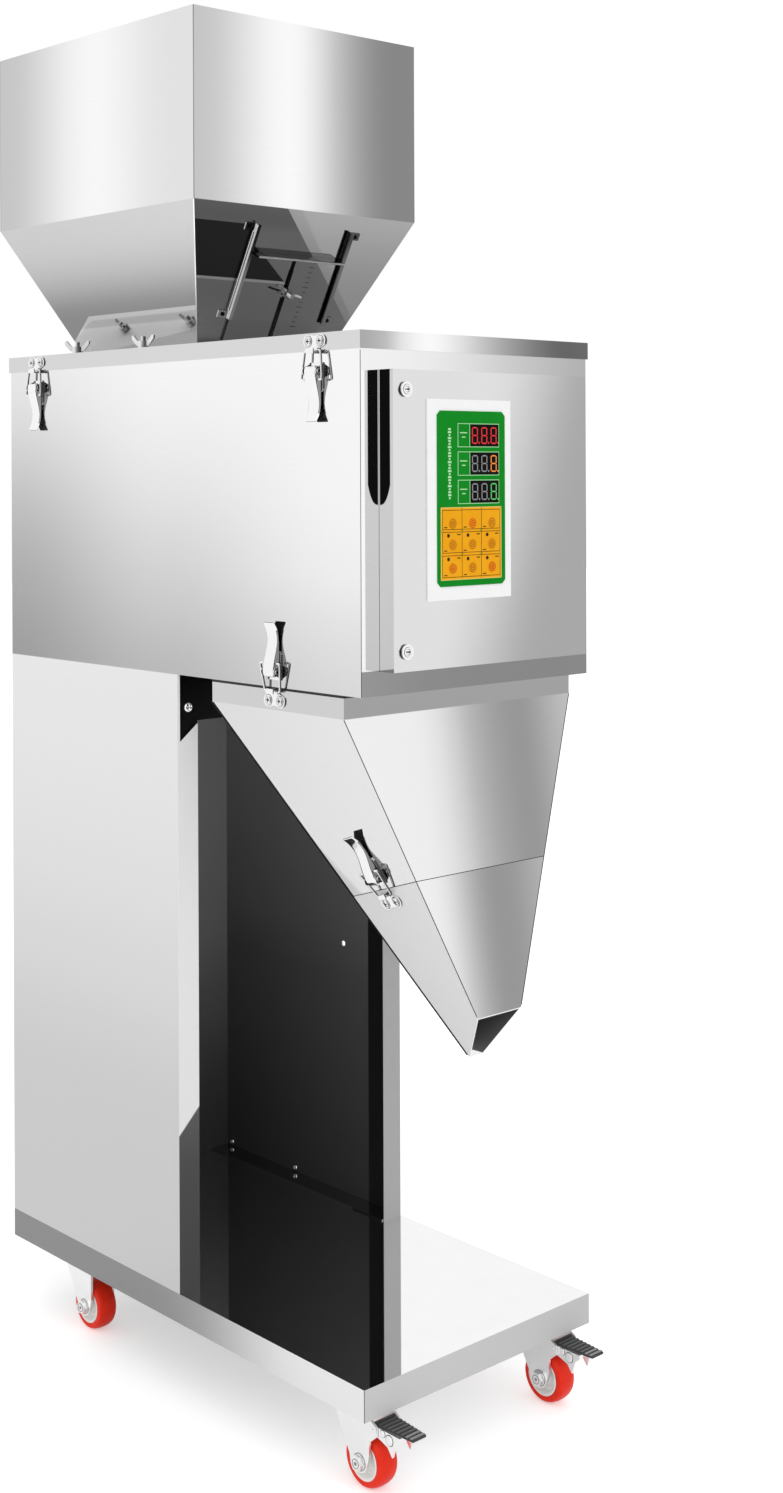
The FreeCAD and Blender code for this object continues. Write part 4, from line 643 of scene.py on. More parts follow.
SLOT_MATERIALS = {
    "stainless_sheet": BOX_STEEL, "polished_hopper": HOPPER_STEEL, "door_sheet": DOOR_STEEL,
    "bright_fittings": FITTING_STEEL, "zinc_steel": ZINC_STEEL, "dark_bracket": DARK_PAINT,
    "red_tyre": RED_TYRE, "grey_pedal": PEDAL_FINISH, "white_plate": WHITE_PLATE,
    "green_overlay": GREEN_FILM, "amber_key": AMBER_FILM, "circuit_board": CIRCUIT_GREEN,
    "lock_chrome": LOCK_CHROME, "cell_aluminium": CELL_ALUMINIUM, "drive_paint": DRIVE_PAINT,
}
NODE_MATERIALS = {
    "hopper_fittings": GUIDE_STEEL, "base_tray": BASE_STEEL, "column_shell": COLUMN_STEEL,
    "box_lid": LID_STEEL, "funnel_upper": FUNNEL_STEEL, "funnel_nozzle": NOZZLE_STEEL,
    "gate_plate": GATE_STEEL, "feeder_tray": WORKS_STEEL,
    "weigh_bucket": WORKS_STEEL, "bucket_flap": WORKS_STEEL,
}
NODE_MATERIALS.update({"key_%d" % number: AMBER_FILM for number in range(1, 10)})


def dress_nodes():
    """Give every frame node the finish of its slot, or its own."""
    slots = {item["node"]: item["material_slot"] for item in frame["record"]["subparts"]}
    for name, node in NODES.items():
        material = NODE_MATERIALS.get(name) or SLOT_MATERIALS[slots[name]]
        node.data.materials.clear()
        node.data.materials.append(material)


dress_nodes()

# Mesh tools


def add_piece(name, points, quads, material, body, smooth=True, slot=None):
    """A new mesh piece in millimetres of the row frame, carried by a body."""
    mesh = bpy.data.meshes.new(name)
    corners = (np.asarray(points, dtype=float) * MM).tolist()
    mesh.from_pydata(corners, [], [tuple(map(int, quad)) for quad in quads])
    mesh.polygons.foreach_set("use_smooth", [smooth] * len(mesh.polygons))
    piece = bpy.data.objects.new(name, mesh)
    bpy.context.scene.collection.objects.link(piece)
    mesh.materials.append(material)
    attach(piece, body)
    return piece


def grid_quads(rows, columns, wrap_rows=False, wrap_columns=False):
    """Faces of a grid of rows by columns of points, closed round where asked."""
    row = np.arange(rows if wrap_rows else rows - 1)[:, None]
    column = np.arange(columns if wrap_columns else columns - 1)[None, :]
    next_row = (row + 1) % rows
    next_column = (column + 1) % columns
    corners = [row * columns + column, row * columns + next_column,
               next_row * columns + next_column, next_row * columns + column]
    size = (row.size, column.size)
    return np.stack([np.broadcast_to(corner, size) for corner in corners], -1).reshape(-1, 4)


def join_parts(parts):
    """Several (points, quads) as one."""
    shift = 0
    all_points = []
    all_quads = []
    for points, quads in parts:
        points = np.asarray(points, dtype=float).reshape(-1, 3)
        all_points.append(points)
        all_quads += [[int(corner) + shift for corner in quad] for quad in quads]
        shift += len(points)
    return np.concatenate(all_points), all_quads


def finish_normals(piece):
    """Merge doubles and point the faces outwards."""
    work = bmesh.new()
    work.from_mesh(piece.data)
    bmesh.ops.remove_doubles(work, verts=work.verts, dist=2e-6)
    bmesh.ops.recalc_face_normals(work, faces=work.faces)
    work.to_mesh(piece.data)
    work.free()
    return piece


def thicken(piece, thickness, bevel=0.0):
    """Give a sheet its thickness inwards, and soften its edges."""
    wall = piece.modifiers.new("wall", "SOLIDIFY")
    wall.thickness = thickness * MM
    wall.offset = -1
    if bevel:
        soften(piece, bevel)
    return piece


def soften(piece, width, segments=2):
    """Round the sharp edges a little."""
    edge = piece.modifiers.new("edge", "BEVEL")
    edge.width = width * MM
    edge.segments = segments
    edge.limit_method = "ANGLE"
    edge.angle_limit = math.radians(40)
    return piece


def rounded_path(corners, radius, steps=5):
    """Corner points joined by straight runs, each inner corner turned by a quadratic arc."""
    corners = np.asarray(corners, dtype=float)
    path = [corners[:1]]
    share = np.linspace(0, 1, steps)[:, None]
    for before, corner, after in zip(corners[:-2], corners[1:-1], corners[2:]):
        back = (before - corner) / np.linalg.norm(before - corner)
        ahead = (after - corner) / np.linalg.norm(after - corner)
        start = corner + back * radius
        end = corner + ahead * radius
        path.append((1 - share) ** 2 * start + 2 * share * (1 - share) * corner + share ** 2 * end)
    path.append(corners[-1:])
    return np.concatenate(path)


def planar_tube(path, across, radius, sides=12):
    """Round wire along a flat path: centre + radius * (cos a * side + sin a * across), ends closed."""
    path = np.asarray(path, dtype=float)
    ahead = np.gradient(path, axis=0)
    ahead /= np.linalg.norm(ahead, axis=1)[:, None]
    across = np.asarray(across, dtype=float) / np.linalg.norm(across)
    side = np.cross(ahead, across)
    turn = np.linspace(0, 2 * math.pi, sides, endpoint=False)
    ring = np.cos(turn)[None, :, None] * side[:, None, :] + np.sin(turn)[None, :, None] * across
    points = (path[:, None, :] + radius * ring).reshape(-1, 3)
    quads = [list(quad) for quad in grid_quads(len(path), sides, wrap_columns=True)]
    quads.append(list(range(sides))[::-1])
    quads.append([len(points) - sides + index for index in range(sides)])
    return points, quads


def lathe(profile, sides=48):
    """A profile of (along, radius) turned about the x axis; points at zero radius close the ends."""
    profile = np.asarray(profile, dtype=float)
    turn = np.linspace(0, 2 * math.pi, sides, endpoint=False)
    along = np.broadcast_to(profile[:, :1], (len(profile), sides))
    across = profile[:, 1:] * np.cos(turn)
    height = profile[:, 1:] * np.sin(turn)
    points = np.stack([along, across, height], -1).reshape(-1, 3)
    return points, grid_quads(len(profile), sides, wrap_columns=True)


def box_part(low, high):
    """Points and faces of a plain block between two corners."""
    low = np.asarray(low, dtype=float)
    high = np.asarray(high, dtype=float)
    bits = np.array([[0, 0, 0], [1, 0, 0], [1, 1, 0], [0, 1, 0], [0, 0, 1], [1, 0, 1], [1, 1, 1], [0, 1, 1]])
    quads = [[0, 3, 2, 1], [4, 5, 6, 7], [0, 1, 5, 4], [1, 2, 6, 5], [2, 3, 7, 6], [3, 0, 4, 7]]
    return low + (high - low) * bits, quads


def put(part, turn, origin):
    """Carry local points into the row frame with the three local axes and an origin."""
    points, quads = part
    moved = np.asarray(points, dtype=float) @ np.asarray(turn, dtype=float) + np.asarray(origin, dtype=float)
    return moved, quads


def screw_head(radius, height, recess=0.55, rings=10, sides=32):
    """Domed head on z = 0: height * sqrt(1 - r^2), with a cross pressed in where |x| or |y| is small."""
    share = np.concatenate([[1.0], np.linspace(1, 0, rings)])
    turn = np.linspace(0, 2 * math.pi, sides, endpoint=False)
    x = radius * share[:, None] * np.cos(turn)
    y = radius * share[:, None] * np.sin(turn)
    z = height * np.sqrt(np.clip(1 - share ** 2, 0, 1))[:, None] + 0.25 * height + 0 * x
    arm = np.minimum(np.abs(x), np.abs(y)) < 0.14 * radius
    z = np.where(arm & (share[:, None] < 0.62), z - recess * height, z)
    z[0] = 0
    points = np.stack([x, y, z], -1).reshape(-1, 3)
    return points, grid_quads(len(share), sides, wrap_columns=True)


# Draw latches

PIVOT_RUN = 34.0
PIVOT_RISE = 6.6
LATCH_THROW = 8.0
OVER_CENTRE = 0.4
BAR_RUN = 15.2
BAR_HEIGHT = 3.05
LID_STEP = 1.7
LEVER_STATIONS = [-4.6, -3.4, 0, 7.5, 12, 20, 26, 30, 36, 42, 46]
LEVER_HALF = [7.4, 8.2, 8.4, 8.4, 8.3, 8.1, 8.0, 8.0, 8.1, 8.2, 7.6]
LEVER_TOP = [7.6, 9.8, 10.8, 9.3, 8.2, 5.4, 3.9, 3.4, 4.4, 6.2, 8.6]
LEVER_FOOT = [6.2, 3.9, 2.3, 1.9, 1.8, 1.8, 1.8, 1.9, 2.7, 4.6, 7.4]


def latch_frames():
    """Local axes and base origin of each latch, worked out from its two hinge joints."""
    joints = {joint["name"]: joint for joint in frame["record"]["behaviour"]["joints"]}
    frames = {}
    lean = math.atan2(-OVER_CENTRE, LATCH_THROW)
    for name, joint in joints.items():
        if not name.startswith("latch_lever_"):
            continue
        key = name[len("latch_lever_"):-len("_swing")]
        pivot = np.array(joint["pos_m"]) / MM
        bail = np.array(joints["latch_bail_%s_swing" % key]["pos_m"]) / MM
        across = np.array(joint["axis"], dtype=float)
        along = (bail - pivot) / np.linalg.norm(bail - pivot)
        square = np.cross(across, along)
        towards = math.cos(lean) * along - math.sin(lean) * square
        out = math.sin(lean) * along + math.cos(lean) * square
        turn = np.array([across, towards, out])
        frames[key] = (turn, pivot - PIVOT_RUN * towards - PIVOT_RISE * out)
    return frames


def lever_part():
    """Pressed lever: half-ring sections along its handle, for a from 0 to 180 degrees.

    x = -half * sgn(cos a) * |cos a|^0.5 and z = foot + (top - foot) * |sin a|^0.4.
    """
    along = np.linspace(LEVER_STATIONS[0], LEVER_STATIONS[-1], 44)
    half = np.interp(along, LEVER_STATIONS, LEVER_HALF)
    top = np.interp(along, LEVER_STATIONS, LEVER_TOP)
    foot = np.interp(along, LEVER_STATIONS, LEVER_FOOT)
    smooth = np.ones(5) / 5
    half, top, foot = [np.convolve(np.pad(row, 2, "edge"), smooth, "valid") for row in (half, top, foot)]
    turn = np.linspace(0, math.pi, 21)
    x = -half[:, None] * np.sign(np.cos(turn)) * np.abs(np.cos(turn)) ** 0.5
    z = foot[:, None] + (top - foot)[:, None] * np.abs(np.sin(turn)) ** 0.4
    y = np.broadcast_to(PIVOT_RUN + along[:, None], x.shape)
    return np.stack([x, y, z], -1).reshape(-1, 3), grid_quads(44, 21)


def lever_tones():
    """Painted light and shade of each lever face: grey flanges with a dark crease, a lit white outer face."""
    strip = np.array([1, 1, 1, 2] + [0] * 12 + [2, 1, 1, 1])
    return np.concatenate([np.tile(strip, 37), np.zeros(6 * 20, int)])


def bail_part(step):
    """Wire bail: a flat tapering loop from the lever to its bar, corners rounded."""
    run = PIVOT_RUN + LATCH_THROW
    rise = PIVOT_RISE - OVER_CENTRE
    bar = BAR_HEIGHT + step
    right = [(7.3, run, rise), (14.5, run, rise), (11, BAR_RUN, bar)]
    path = rounded_path(right + [(-x, y, z) for x, y, z in right[::-1]], 2.6, 7)
    slope = (run - BAR_RUN, rise - bar)
    return planar_tube(path, (0, -slope[1], slope[0]), 1.25)


def catch_outline():
    """Outline of the two-lobed catch plate: two round eyes that draw in to the hook's neck."""
    low = np.linspace(math.radians(35), math.radians(-100), 20)
    right = np.stack([9 + 6.5 * np.cos(low), 6.5 + 6.5 * np.sin(low)], -1)
    neck = np.array([[5.5, 17.8], [5.5, 15.5], [6.6, 13.4], [10.4, 12.2]])
    dip = np.array([[4, 1.0], [0, 1.8], [-4, 1.0]])
    left = right[::-1] * (-1, 1)
    return np.concatenate([neck, right, dip, left, neck[::-1] * (-1, 1)])


def prism_quads(count):
    """Faces of a prism whose two ends have so many corners: the ends, then the sides between them."""
    after = [(index + 1) % count for index in range(count)]
    sides = [[index, after[index], after[index] + count, index + count] for index in range(count)]
    return [list(range(count)), list(range(count, 2 * count))[::-1]] + sides


def plate_part(outline, low, high):
    """A flat plate between two heights with a given outline."""
    count = len(outline)
    points = np.concatenate([np.column_stack([outline, np.full(count, level)]) for level in (low, high)])
    return points, prism_quads(count)


def ribbon_part(profile, half, thickness):
    """A strip bent along a profile of (y, z): the profile pushed sideways by its own normal."""
    profile = rounded_path(profile, 0.9, 4)
    ahead = np.gradient(profile, axis=0)
    ahead /= np.linalg.norm(ahead, axis=1)[:, None]
    normal = np.stack([-ahead[:, 1], ahead[:, 0]], -1)
    loop = np.concatenate([profile, (profile + normal * thickness)[::-1]])
    count = len(loop)
    points = np.concatenate([np.column_stack([np.full(count, side), loop]) for side in (-half, half)])
    return points, prism_quads(count)


def shifted(part, place):
    """A part moved as it stands."""
    return put(part, np.eye(3), place)


def catch_parts():
    """Catch plate, its hook and its two screws."""
    hook = [(12.6, 1.2), (17.9, 1.2), (17.9, 7.4), (13.4, 7.4)]
    parts = [plate_part(catch_outline(), 0, 1.2), ribbon_part(hook, 5.5, 1.0)]
    for side in (-8.3, 8.3):
        ring = [(0.0, 4.9), (0.3, 4.9), (0.5, 4.5), (0.3, 4.0), (0, 4.0)]
        points, quads = lathe(ring, 32)
        parts.append((points[:, [1, 2, 0]] + (side, 6.5, 1.2), quads))
        parts.append(shifted(screw_head(3.6, 1.2), (side, 6.5, 1.2)))
    return parts


def recess_parts():
    """Dark discs of painted shade in the sockets of the catch's two screws, and a groove round each."""
    parts = []
    for side in (-8.3, 8.3):
        for near, far, low, high in ((0.0, 1.3, 2.2, 2.55), (4.9, 5.4, 1.2, 1.26)):
            points, quads = lathe([(low, near), (high, near), (high, far), (low, far), (low, near)], 24)
            parts.append((points[:, [1, 2, 0]] + (side, 6.5, 0), quads))
    return parts


def base_parts():
    """Base plate with two ears and the pivot rivet's heads."""
    outline = np.array([(-9.9, 26), (9.9, 26), (9.9, 50), (7.5, 53), (-7.5, 53), (-9.9, 50)])
    parts = [plate_part(outline, 0, 1.2)]
    swing = np.linspace(0, math.pi, 13)
    ear = np.concatenate([[(PIVOT_RUN + 6, 0.6)], np.stack([
        PIVOT_RUN + 3.6 * np.cos(swing), PIVOT_RISE + 3.2 * np.sin(swing)], -1), [(PIVOT_RUN - 7, 0.6)]])
    for side in (-9.9, 8.7):
        points, quads = plate_part(ear, side, side + 1.2)
        parts.append((points[:, [2, 0, 1]], quads))
    head = [(-11.4, 0), (-11.4, 1.6), (-10.9, 2.2), (-9.9, 2.4), (-9.9, 1.5)]
    pin = head + [(-x, radius) for x, radius in head[::-1]]
    points, quads = lathe(pin, 20)
    parts.append((points + (0, PIVOT_RUN, PIVOT_RISE), quads))
    return parts


def make_latches():
    """All eight latches: fixings in one piece, each lever and bail riding on its own body."""
    fixings = []
    recesses = []
    for key, (turn, origin) in latch_frames().items():
        step = LID_STEP if key.startswith("lid") else 0.0
        body = "latch_lever_%s" % key
        lever = add_piece("lever_%s" % key, *put(lever_part(), turn, origin), HANDLE_WHITE, body)
        # The lever's other tones are painted shade: grey flanges, a dark crease and rim, black on the inside.
        for finish in (HANDLE_GREY, HANDLE_DARK, HANDLE_INSIDE):
            lever.data.materials.append(finish)
        lever.data.polygons.foreach_set("material_index", lever_tones())
        finish_normals(lever)
        thicken(lever, 1.1)
        lever.modifiers["wall"].material_offset = 3
        lever.modifiers["wall"].material_offset_rim = 2
        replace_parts(lever, body)
        body = "latch_bail_%s" % key
        bail = add_piece("bail_%s" % key, *put(bail_part(step), turn, origin), FITTING_STEEL, body)
        finish_normals(bail)
        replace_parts(bail, body)
        fixings += [put(part, turn, origin) for part in base_parts()]
        recesses += [put(part, turn, origin + step * turn[2]) for part in recess_parts()]
        fixings += [put(part, turn, origin + step * turn[2]) for part in catch_parts()]
    piece = add_piece("latch_plates", *join_parts(fixings), FITTING_STEEL, "frame", smooth=False)
    finish_normals(piece)
    soften(piece, 0.2, 1)
    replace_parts(piece, "latch_fixings")
    piece = add_piece("latch_recesses", *join_parts(recesses), HANDLE_DARK, "frame", slot="bright_fittings")
    finish_normals(piece)


# Control panel

PLATE_LEFT = -87.0
PLATE_TOP = 991.0
KEY_RADIUS = 4.6
LOCK_PLACE = -113.0
LOCK_HEIGHTS = {"cam_lock_upper": 999.0, "cam_lock_lower": 763.0}


def panel_box(left, top, right, low, rise, sink=0.0):
    """A thin block on the keypad film, from distances to the plate's left and top edges."""
    return box_part((PLATE_LEFT + left, FILM_FRONT - rise, PLATE_TOP - low),
                    (PLATE_LEFT + right, FILM_FRONT + sink, PLATE_TOP - top))


def outline_boxes(left, top, right, low, width, rise):
    """Four thin bars round a rectangle on the film."""
    return [
        panel_box(left, top, right, top + width, rise), panel_box(left, low - width, right, low, rise),
        panel_box(left, top + width, left + width, low - width, rise),
        panel_box(right - width, top + width, right, low - width, rise),
    ]


def panel_piece(name, parts, material, body="door", slot="green_overlay"):
    """One printed or moulded piece on the panel."""
    piece = add_piece(name, *join_parts(parts), material, body, smooth=False, slot=slot)
    return finish_normals(piece)


SEGMENTS = {
    "a": (0.16, 0.0, 0.84, 0.09), "g": (0.16, 0.455, 0.84, 0.545), "d": (0.16, 0.91, 0.84, 1.0),
    "f": (0.0, 0.06, 0.17, 0.48), "b": (0.83, 0.06, 1.0, 0.48), "e": (0.0, 0.52, 0.17, 0.94),
    "c": (0.83, 0.52, 1.0, 0.94),
}


def digit_boxes(left, top, lit="abcdefg", wide=8.0, tall=15.8, gap=0.15):
    """Seven thin bars of one readout digit."""
    parts = []
    for name in lit:
        x0, y0, x1, y1 = SEGMENTS[name]
        parts.append(panel_box(left + x0 * wide + gap, top + y0 * tall + gap, left + x1 * wide - gap,
                               top + y1 * tall - gap, 0.55))
    return parts


def disc_part(across, height, radius, rise, thickness=0.3, inner=0.0, sides=40):
    """Flat ring or disc facing the front, rise in front of the film."""
    near = FILM_FRONT - rise
    radii = [max(inner, 0.001), radius, radius, max(inner, 0.001)]
    depth = [near, near, near + thickness, near + thickness]
    turn = np.linspace(0, 2 * math.pi, sides, endpoint=False)
    x = across + np.outer(radii, np.cos(turn))
    z = height + np.outer(radii, np.sin(turn))
    y = np.broadcast_to(np.array(depth)[:, None], x.shape)
    return np.stack([x, y, z], -1).reshape(-1, 3), grid_quads(4, sides, wrap_rows=True, wrap_columns=True)


def key_cell(left, top, right, low, key_x, key_y, rise):
    """A keypad cell with a round hole: its inner loop a circle, its outer loop the cell's edge."""
    sides = 48
    turn = np.linspace(0, 2 * math.pi, sides, endpoint=False) + math.pi / 4
    ray = np.stack([np.cos(turn), np.sin(turn)], -1)
    centre = np.array([key_x, key_y])
    steady = np.where(np.abs(ray) < 1e-6, 1e-6, ray)
    reach = np.where(ray > 0, (right - key_x, low - key_y), (left - key_x, top - key_y)) / steady
    edge = centre + ray * np.min(np.abs(reach), axis=1)[:, None]
    hole = centre + ray * (KEY_RADIUS + 0.1)
    loops = []
    for loop, depth in ((hole, -rise), (edge, -rise), (edge, 0.0), (hole, 0.0)):
        front = np.full(sides, FILM_FRONT + depth)
        loops.append(np.stack([PLATE_LEFT + loop[:, 0], front, PLATE_TOP - loop[:, 1]], -1))
    return np.concatenate(loops), grid_quads(4, sides, wrap_rows=True, wrap_columns=True)


CELL_COLUMNS = (17.4, 42.5, 67.7, 92.3)
CELL_ROWS = ((101.4, 119.6), (121.6, 141.0), (143.2, 163.4))
READOUT_ROWS = ((21.8, 43.8), (47.8, 70.0), (73.9, 96.1))


def key_centre(number):
    """Middle of a key, from the plate's left and top edges."""
    low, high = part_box("key_%d" % number)
    return (low[0] + high[0]) / 2 / MM - PLATE_LEFT, PLATE_TOP - (low[2] + high[2]) / 2 / MM


def bar_row(across, top, count, pitch, long, tall):
    """A column of short upright bars that stands for small print."""
    lengths = long * (0.72 + 0.28 * np.sin(np.arange(count) * 2.4))
    tops = top + np.arange(count) * pitch
    return [panel_box(across - size / 2, edge, across + size / 2, edge + tall, 0.15)
            for edge, size in zip(tops, lengths)]


def make_panel():
    """Readouts, outlines and keypad fields on the film."""
    outline = bar_row(27.0, 26.4, 24, 2.75, 4.6, 1.9)
    windows = []
    digits = {"red": [], "orange": [], "green": [], "dim": []}
    colours = (("red", "red", "red"), ("dim", "dim", "orange"), ("dim", "dim", "green"))
    for (top, low), row in zip(READOUT_ROWS, colours):
        outline += outline_boxes(37.4, top, 91.4, low, 0.6, 0.3)
        outline.append(panel_box(52.7, top + 0.6, 53.2, low - 0.6, 0.3))
        outline.append(panel_box(40.4, top + 8.2, 49.6, top + 9.2, 0.15))
        outline.append(panel_box(42.8, top + 12.2, 47.4, top + 13.2, 0.15))
        windows.append(panel_box(53.8, top + 1.0, 90.8, low - 1.0, 0.4))
        for step, colour in enumerate(row):
            left = 55.4 + step * 12.3
            digits[colour] += digit_boxes(left, top + 3.2)
            digits[colour].append(panel_box(left + 9.0, low - 4.9, left + 10.4, low - 3.3, 0.55))
    panel_piece("panel_outlines", outline, PALE_INK)
    panel_piece("readout_windows", windows, WINDOW_BLACK)
    for colour, parts in digits.items():
        panel_piece("digits_%s" % colour, parts, DIGIT_GLOW[colour])
    cells = []
    lines = []
    dots = []
    for row, (top, low) in enumerate(CELL_ROWS):
        cell_top = (CELL_ROWS[row - 1][1] + top) / 2 if row else 99.6
        cell_low = (CELL_ROWS[row + 1][0] + low) / 2 if row < 2 else 165.2
        for column, (left, right) in enumerate(zip(CELL_COLUMNS[:-1], CELL_COLUMNS[1:])):
            key_x, key_y = key_centre(row * 3 + column + 1)
            edge_left = left if column else 16.0
            edge_right = right if column < 2 else 93.6
            cells.append(key_cell(edge_left, cell_top, edge_right, cell_low, key_x, key_y, 0.2))
            lines += outline_boxes(left - 0.25, top, right + 0.25, low, 0.5, 0.28)
            if row:
                dots.append(disc_part(PLATE_LEFT + left + 7.6, PLATE_TOP - top - 3.4, 1.7, 0.4))
                lines.append(panel_box(right - 6.4, top + 2.0, right - 2.0, top + 3.0, 0.28))
            lines.append(panel_box(left + 2.0, low - 2.6, left + 6.0, low - 1.7, 0.28))
    panel_piece("keypad_cells", cells, AMBER_FILM, slot="amber_key")
    panel_piece("keypad_lines", lines, DARK_INK, slot="amber_key")
    panel_piece("keypad_dots", dots, DARK_INK, slot="amber_key")
    border = outline_boxes(15.4, 99.0, 94.2, 165.8, 0.7, 0.25)
    panel_piece("keypad_border", border, PALE_AMBER, slot="amber_key")
    red_keys = (2, 7, 9)
    for number in range(1, 10):
        key_x, key_y = key_centre(number)
        ink = RED_INK if number in red_keys else BROWN_INK
        rings = [disc_part(PLATE_LEFT + key_x, PLATE_TOP - key_y, outer, 0.95, 0.2, inner)
                 for outer, inner in ((4.3, 3.7), (2.7, 1.9), (0.9, 0.0))]
        panel_piece("key_mark_%d" % number, rings, ink, "key_%d" % number, "amber_key")


def make_lock_faces():
    """A raised ring and a cross slot on each cam lock's face."""
    for name in ("cam_lock_upper", "cam_lock_lower"):
        low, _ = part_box(name)
        x = LOCK_PLACE
        z = LOCK_HEIGHTS[name]
        rise = FILM_FRONT - low[1] / MM
        ring = [disc_part(x, z, 4.4, rise + 0.35, 0.45, 2.9)]
        panel_piece("lock_ring_%s" % name[len("cam_lock_"):], ring, HANDLE_WHITE, name, "lock_chrome")
        dark = [disc_part(x, z, 4.75, rise + 0.06, 0.2, 4.4), disc_part(x, z, 2.9, rise + 0.06, 0.2, 2.5),
                box_part((x - 2.4, FILM_FRONT - rise - 0.1, z - 0.4), (x + 2.4, FILM_FRONT - rise, z + 0.4))]
        panel_piece("lock_grooves_%s" % name[len("cam_lock_"):], dark, HANDLE_DARK, name, "lock_chrome")


# Casters

WHEEL_RADIUS = 26.0
WHEEL_HALF = 11.0
PEDAL_SIDE = 12.2
AXLE_FACE = 20.0
CASTERS = {"front_left": (-119, -260), "front_right": (119, -260), "rear_left": (-119, 187),
           "rear_right": (119, 187)}


def make_wheels():
    """Moulded tyre and dished hub of each wheel, turned about the axle."""
    half = WHEEL_HALF * 0.98
    crown = [(-half * math.cos(angle), 20.5 + 5.5 * math.sin(angle) ** 0.55)
             for angle in np.linspace(0, math.pi, 25)]
    tyre_profile = [(-half, 18.4)] + crown + [(half, 18.4), (-half, 18.4)]
    hub_half = [(10.6, 18.6), (10.9, 18.2), (10.9, 16.4), (10.0, 15.6), (5.0, 14.6), (4.2, 13.6), (4.2, 10.2),
                (5.0, 9.4), (10.4, 8.8), (10.9, 8.3), (10.9, 4.5), (10.4, 4.1)]
    hub_profile = hub_half + [(-x, r) for x, r in hub_half[::-1]] + [hub_half[0]]
    shapes = (("tyre", lathe(tyre_profile, 72), RED_TYRE), ("hub", lathe(hub_profile, 72), WHITE_HUB))
    for name, (x, y) in CASTERS.items():
        body = "caster_wheel_%s" % name
        for part, (points, quads), finish in shapes:
            points = points + (x, y, WHEEL_RADIUS)
            piece = add_piece("%s_%s" % (part, name), points, quads, finish, body, slot="red_tyre")
            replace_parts(finish_normals(piece), body)


def make_pedal_bosses():
    """Two round bosses on each cheek of the brake pedals: a low dome with a rounded edge."""
    profile = [(0.0, 0.0), (0.0, 4.6), (0.5, 4.5), (0.8, 4.0), (0.9, 2.4), (1.0, 0.0)]
    groove = [(0.0, 4.6), (0.1, 4.6), (0.1, 5.1), (0.0, 5.1), (0.0, 4.6)]
    for name in ("front_left", "front_right"):
        x, y = CASTERS[name]
        bosses = []
        grooves = []
        for side in (-1, 1):
            for ahead, height, share in ((-37.5, 58.0, 1.0), (-28.5, 61.0, 0.7)):
                for shape, found in ((profile, bosses), (groove, grooves)):
                    points, quads = lathe(np.array(shape) * (1.0, share), 28)
                    found.append((points * (side, 1, 1) + (x + side * PEDAL_SIDE, y + ahead, height), quads))
        body = "brake_pedal_%s" % name
        for part, found, finish in (("bosses", bosses, ZINC_STEEL), ("grooves", grooves, HANDLE_DARK)):
            piece = add_piece("pedal_%s_%s" % (part, name), *join_parts(found), finish, body,
                              slot="zinc_steel")
            finish_normals(piece)


def make_axle_rings():
    """A dark washer line and a dot round each axle nut, on both fork legs."""
    for name, (x, y) in CASTERS.items():
        rings = []
        for side in (-1, 1):
            for low, high, reach in ((7.3, 8.1, 15.0), (3.9, 4.5, AXLE_FACE), (0.4, 1.6, AXLE_FACE)):
                points, quads = lathe([(0.0, low), (0.0, high), (0.25, high), (0.25, low), (0.0, low)], 32)
                rings.append((points * (side, 1, 1) + (x + side * reach, y, WHEEL_RADIUS), quads))
        body = "caster_fork_%s" % name
        piece = add_piece("axle_rings_%s" % name, *join_parts(rings), HANDLE_GREY, body, slot="zinc_steel")
        finish_normals(piece)


# Seams, painted shadow strips and highlights, and small screws

TOWARDS_FRONT = ((1, 0, 0), (0, 0, 1), (0, -1, 0))
TOWARDS_LEFT = ((0, 1, 0), (0, 0, 1), (-1, 0, 0))


def straight_bead(start, end, across, radius, sides=8):
    """A straight round bead between two points."""
    return planar_tube(np.array([start, end]), across, radius, sides)


def funnel_half(drop):
    """Half of the funnel's width, so far under its rim."""
    return HALF_WIDTH - FUNNEL_SIDE_RATE * drop


def make_hopper_beads():
    """Ground corner beads of the bin, and a bright bead down the cone's left front corner, a painted
    highlight.
    """
    beads = []
    for x, y in ((-148.9, -37.8), (148.9, -37.8), (-148.9, 323.6), (148.9, 323.6)):
        beads.append(straight_bead((x, y, CONE_TOP), (x, y, HOPPER_TOP - 0.4), (1, 0, 0), 0.4))
    piece = add_piece("hopper_corner_beads", *join_parts(beads), DARK_SEAM, "frame", slot="polished_hopper")
    finish_normals(piece)
    fall = 141
    x, y, z = (-149.3, -37.6, CONE_TOP - 1)
    # painted highlight: a white bead down the cone's left front corner
    corner = straight_bead((x, y, z), (x + CONE_SIDE_RATE * fall, y + CONE_FRONT_RATE * fall, z - fall),
                           (0, 1, 0), 0.75, 10)
    finish_normals(add_piece("cone_corner_bead", *corner, HANDLE_WHITE, "frame", slot="polished_hopper"))


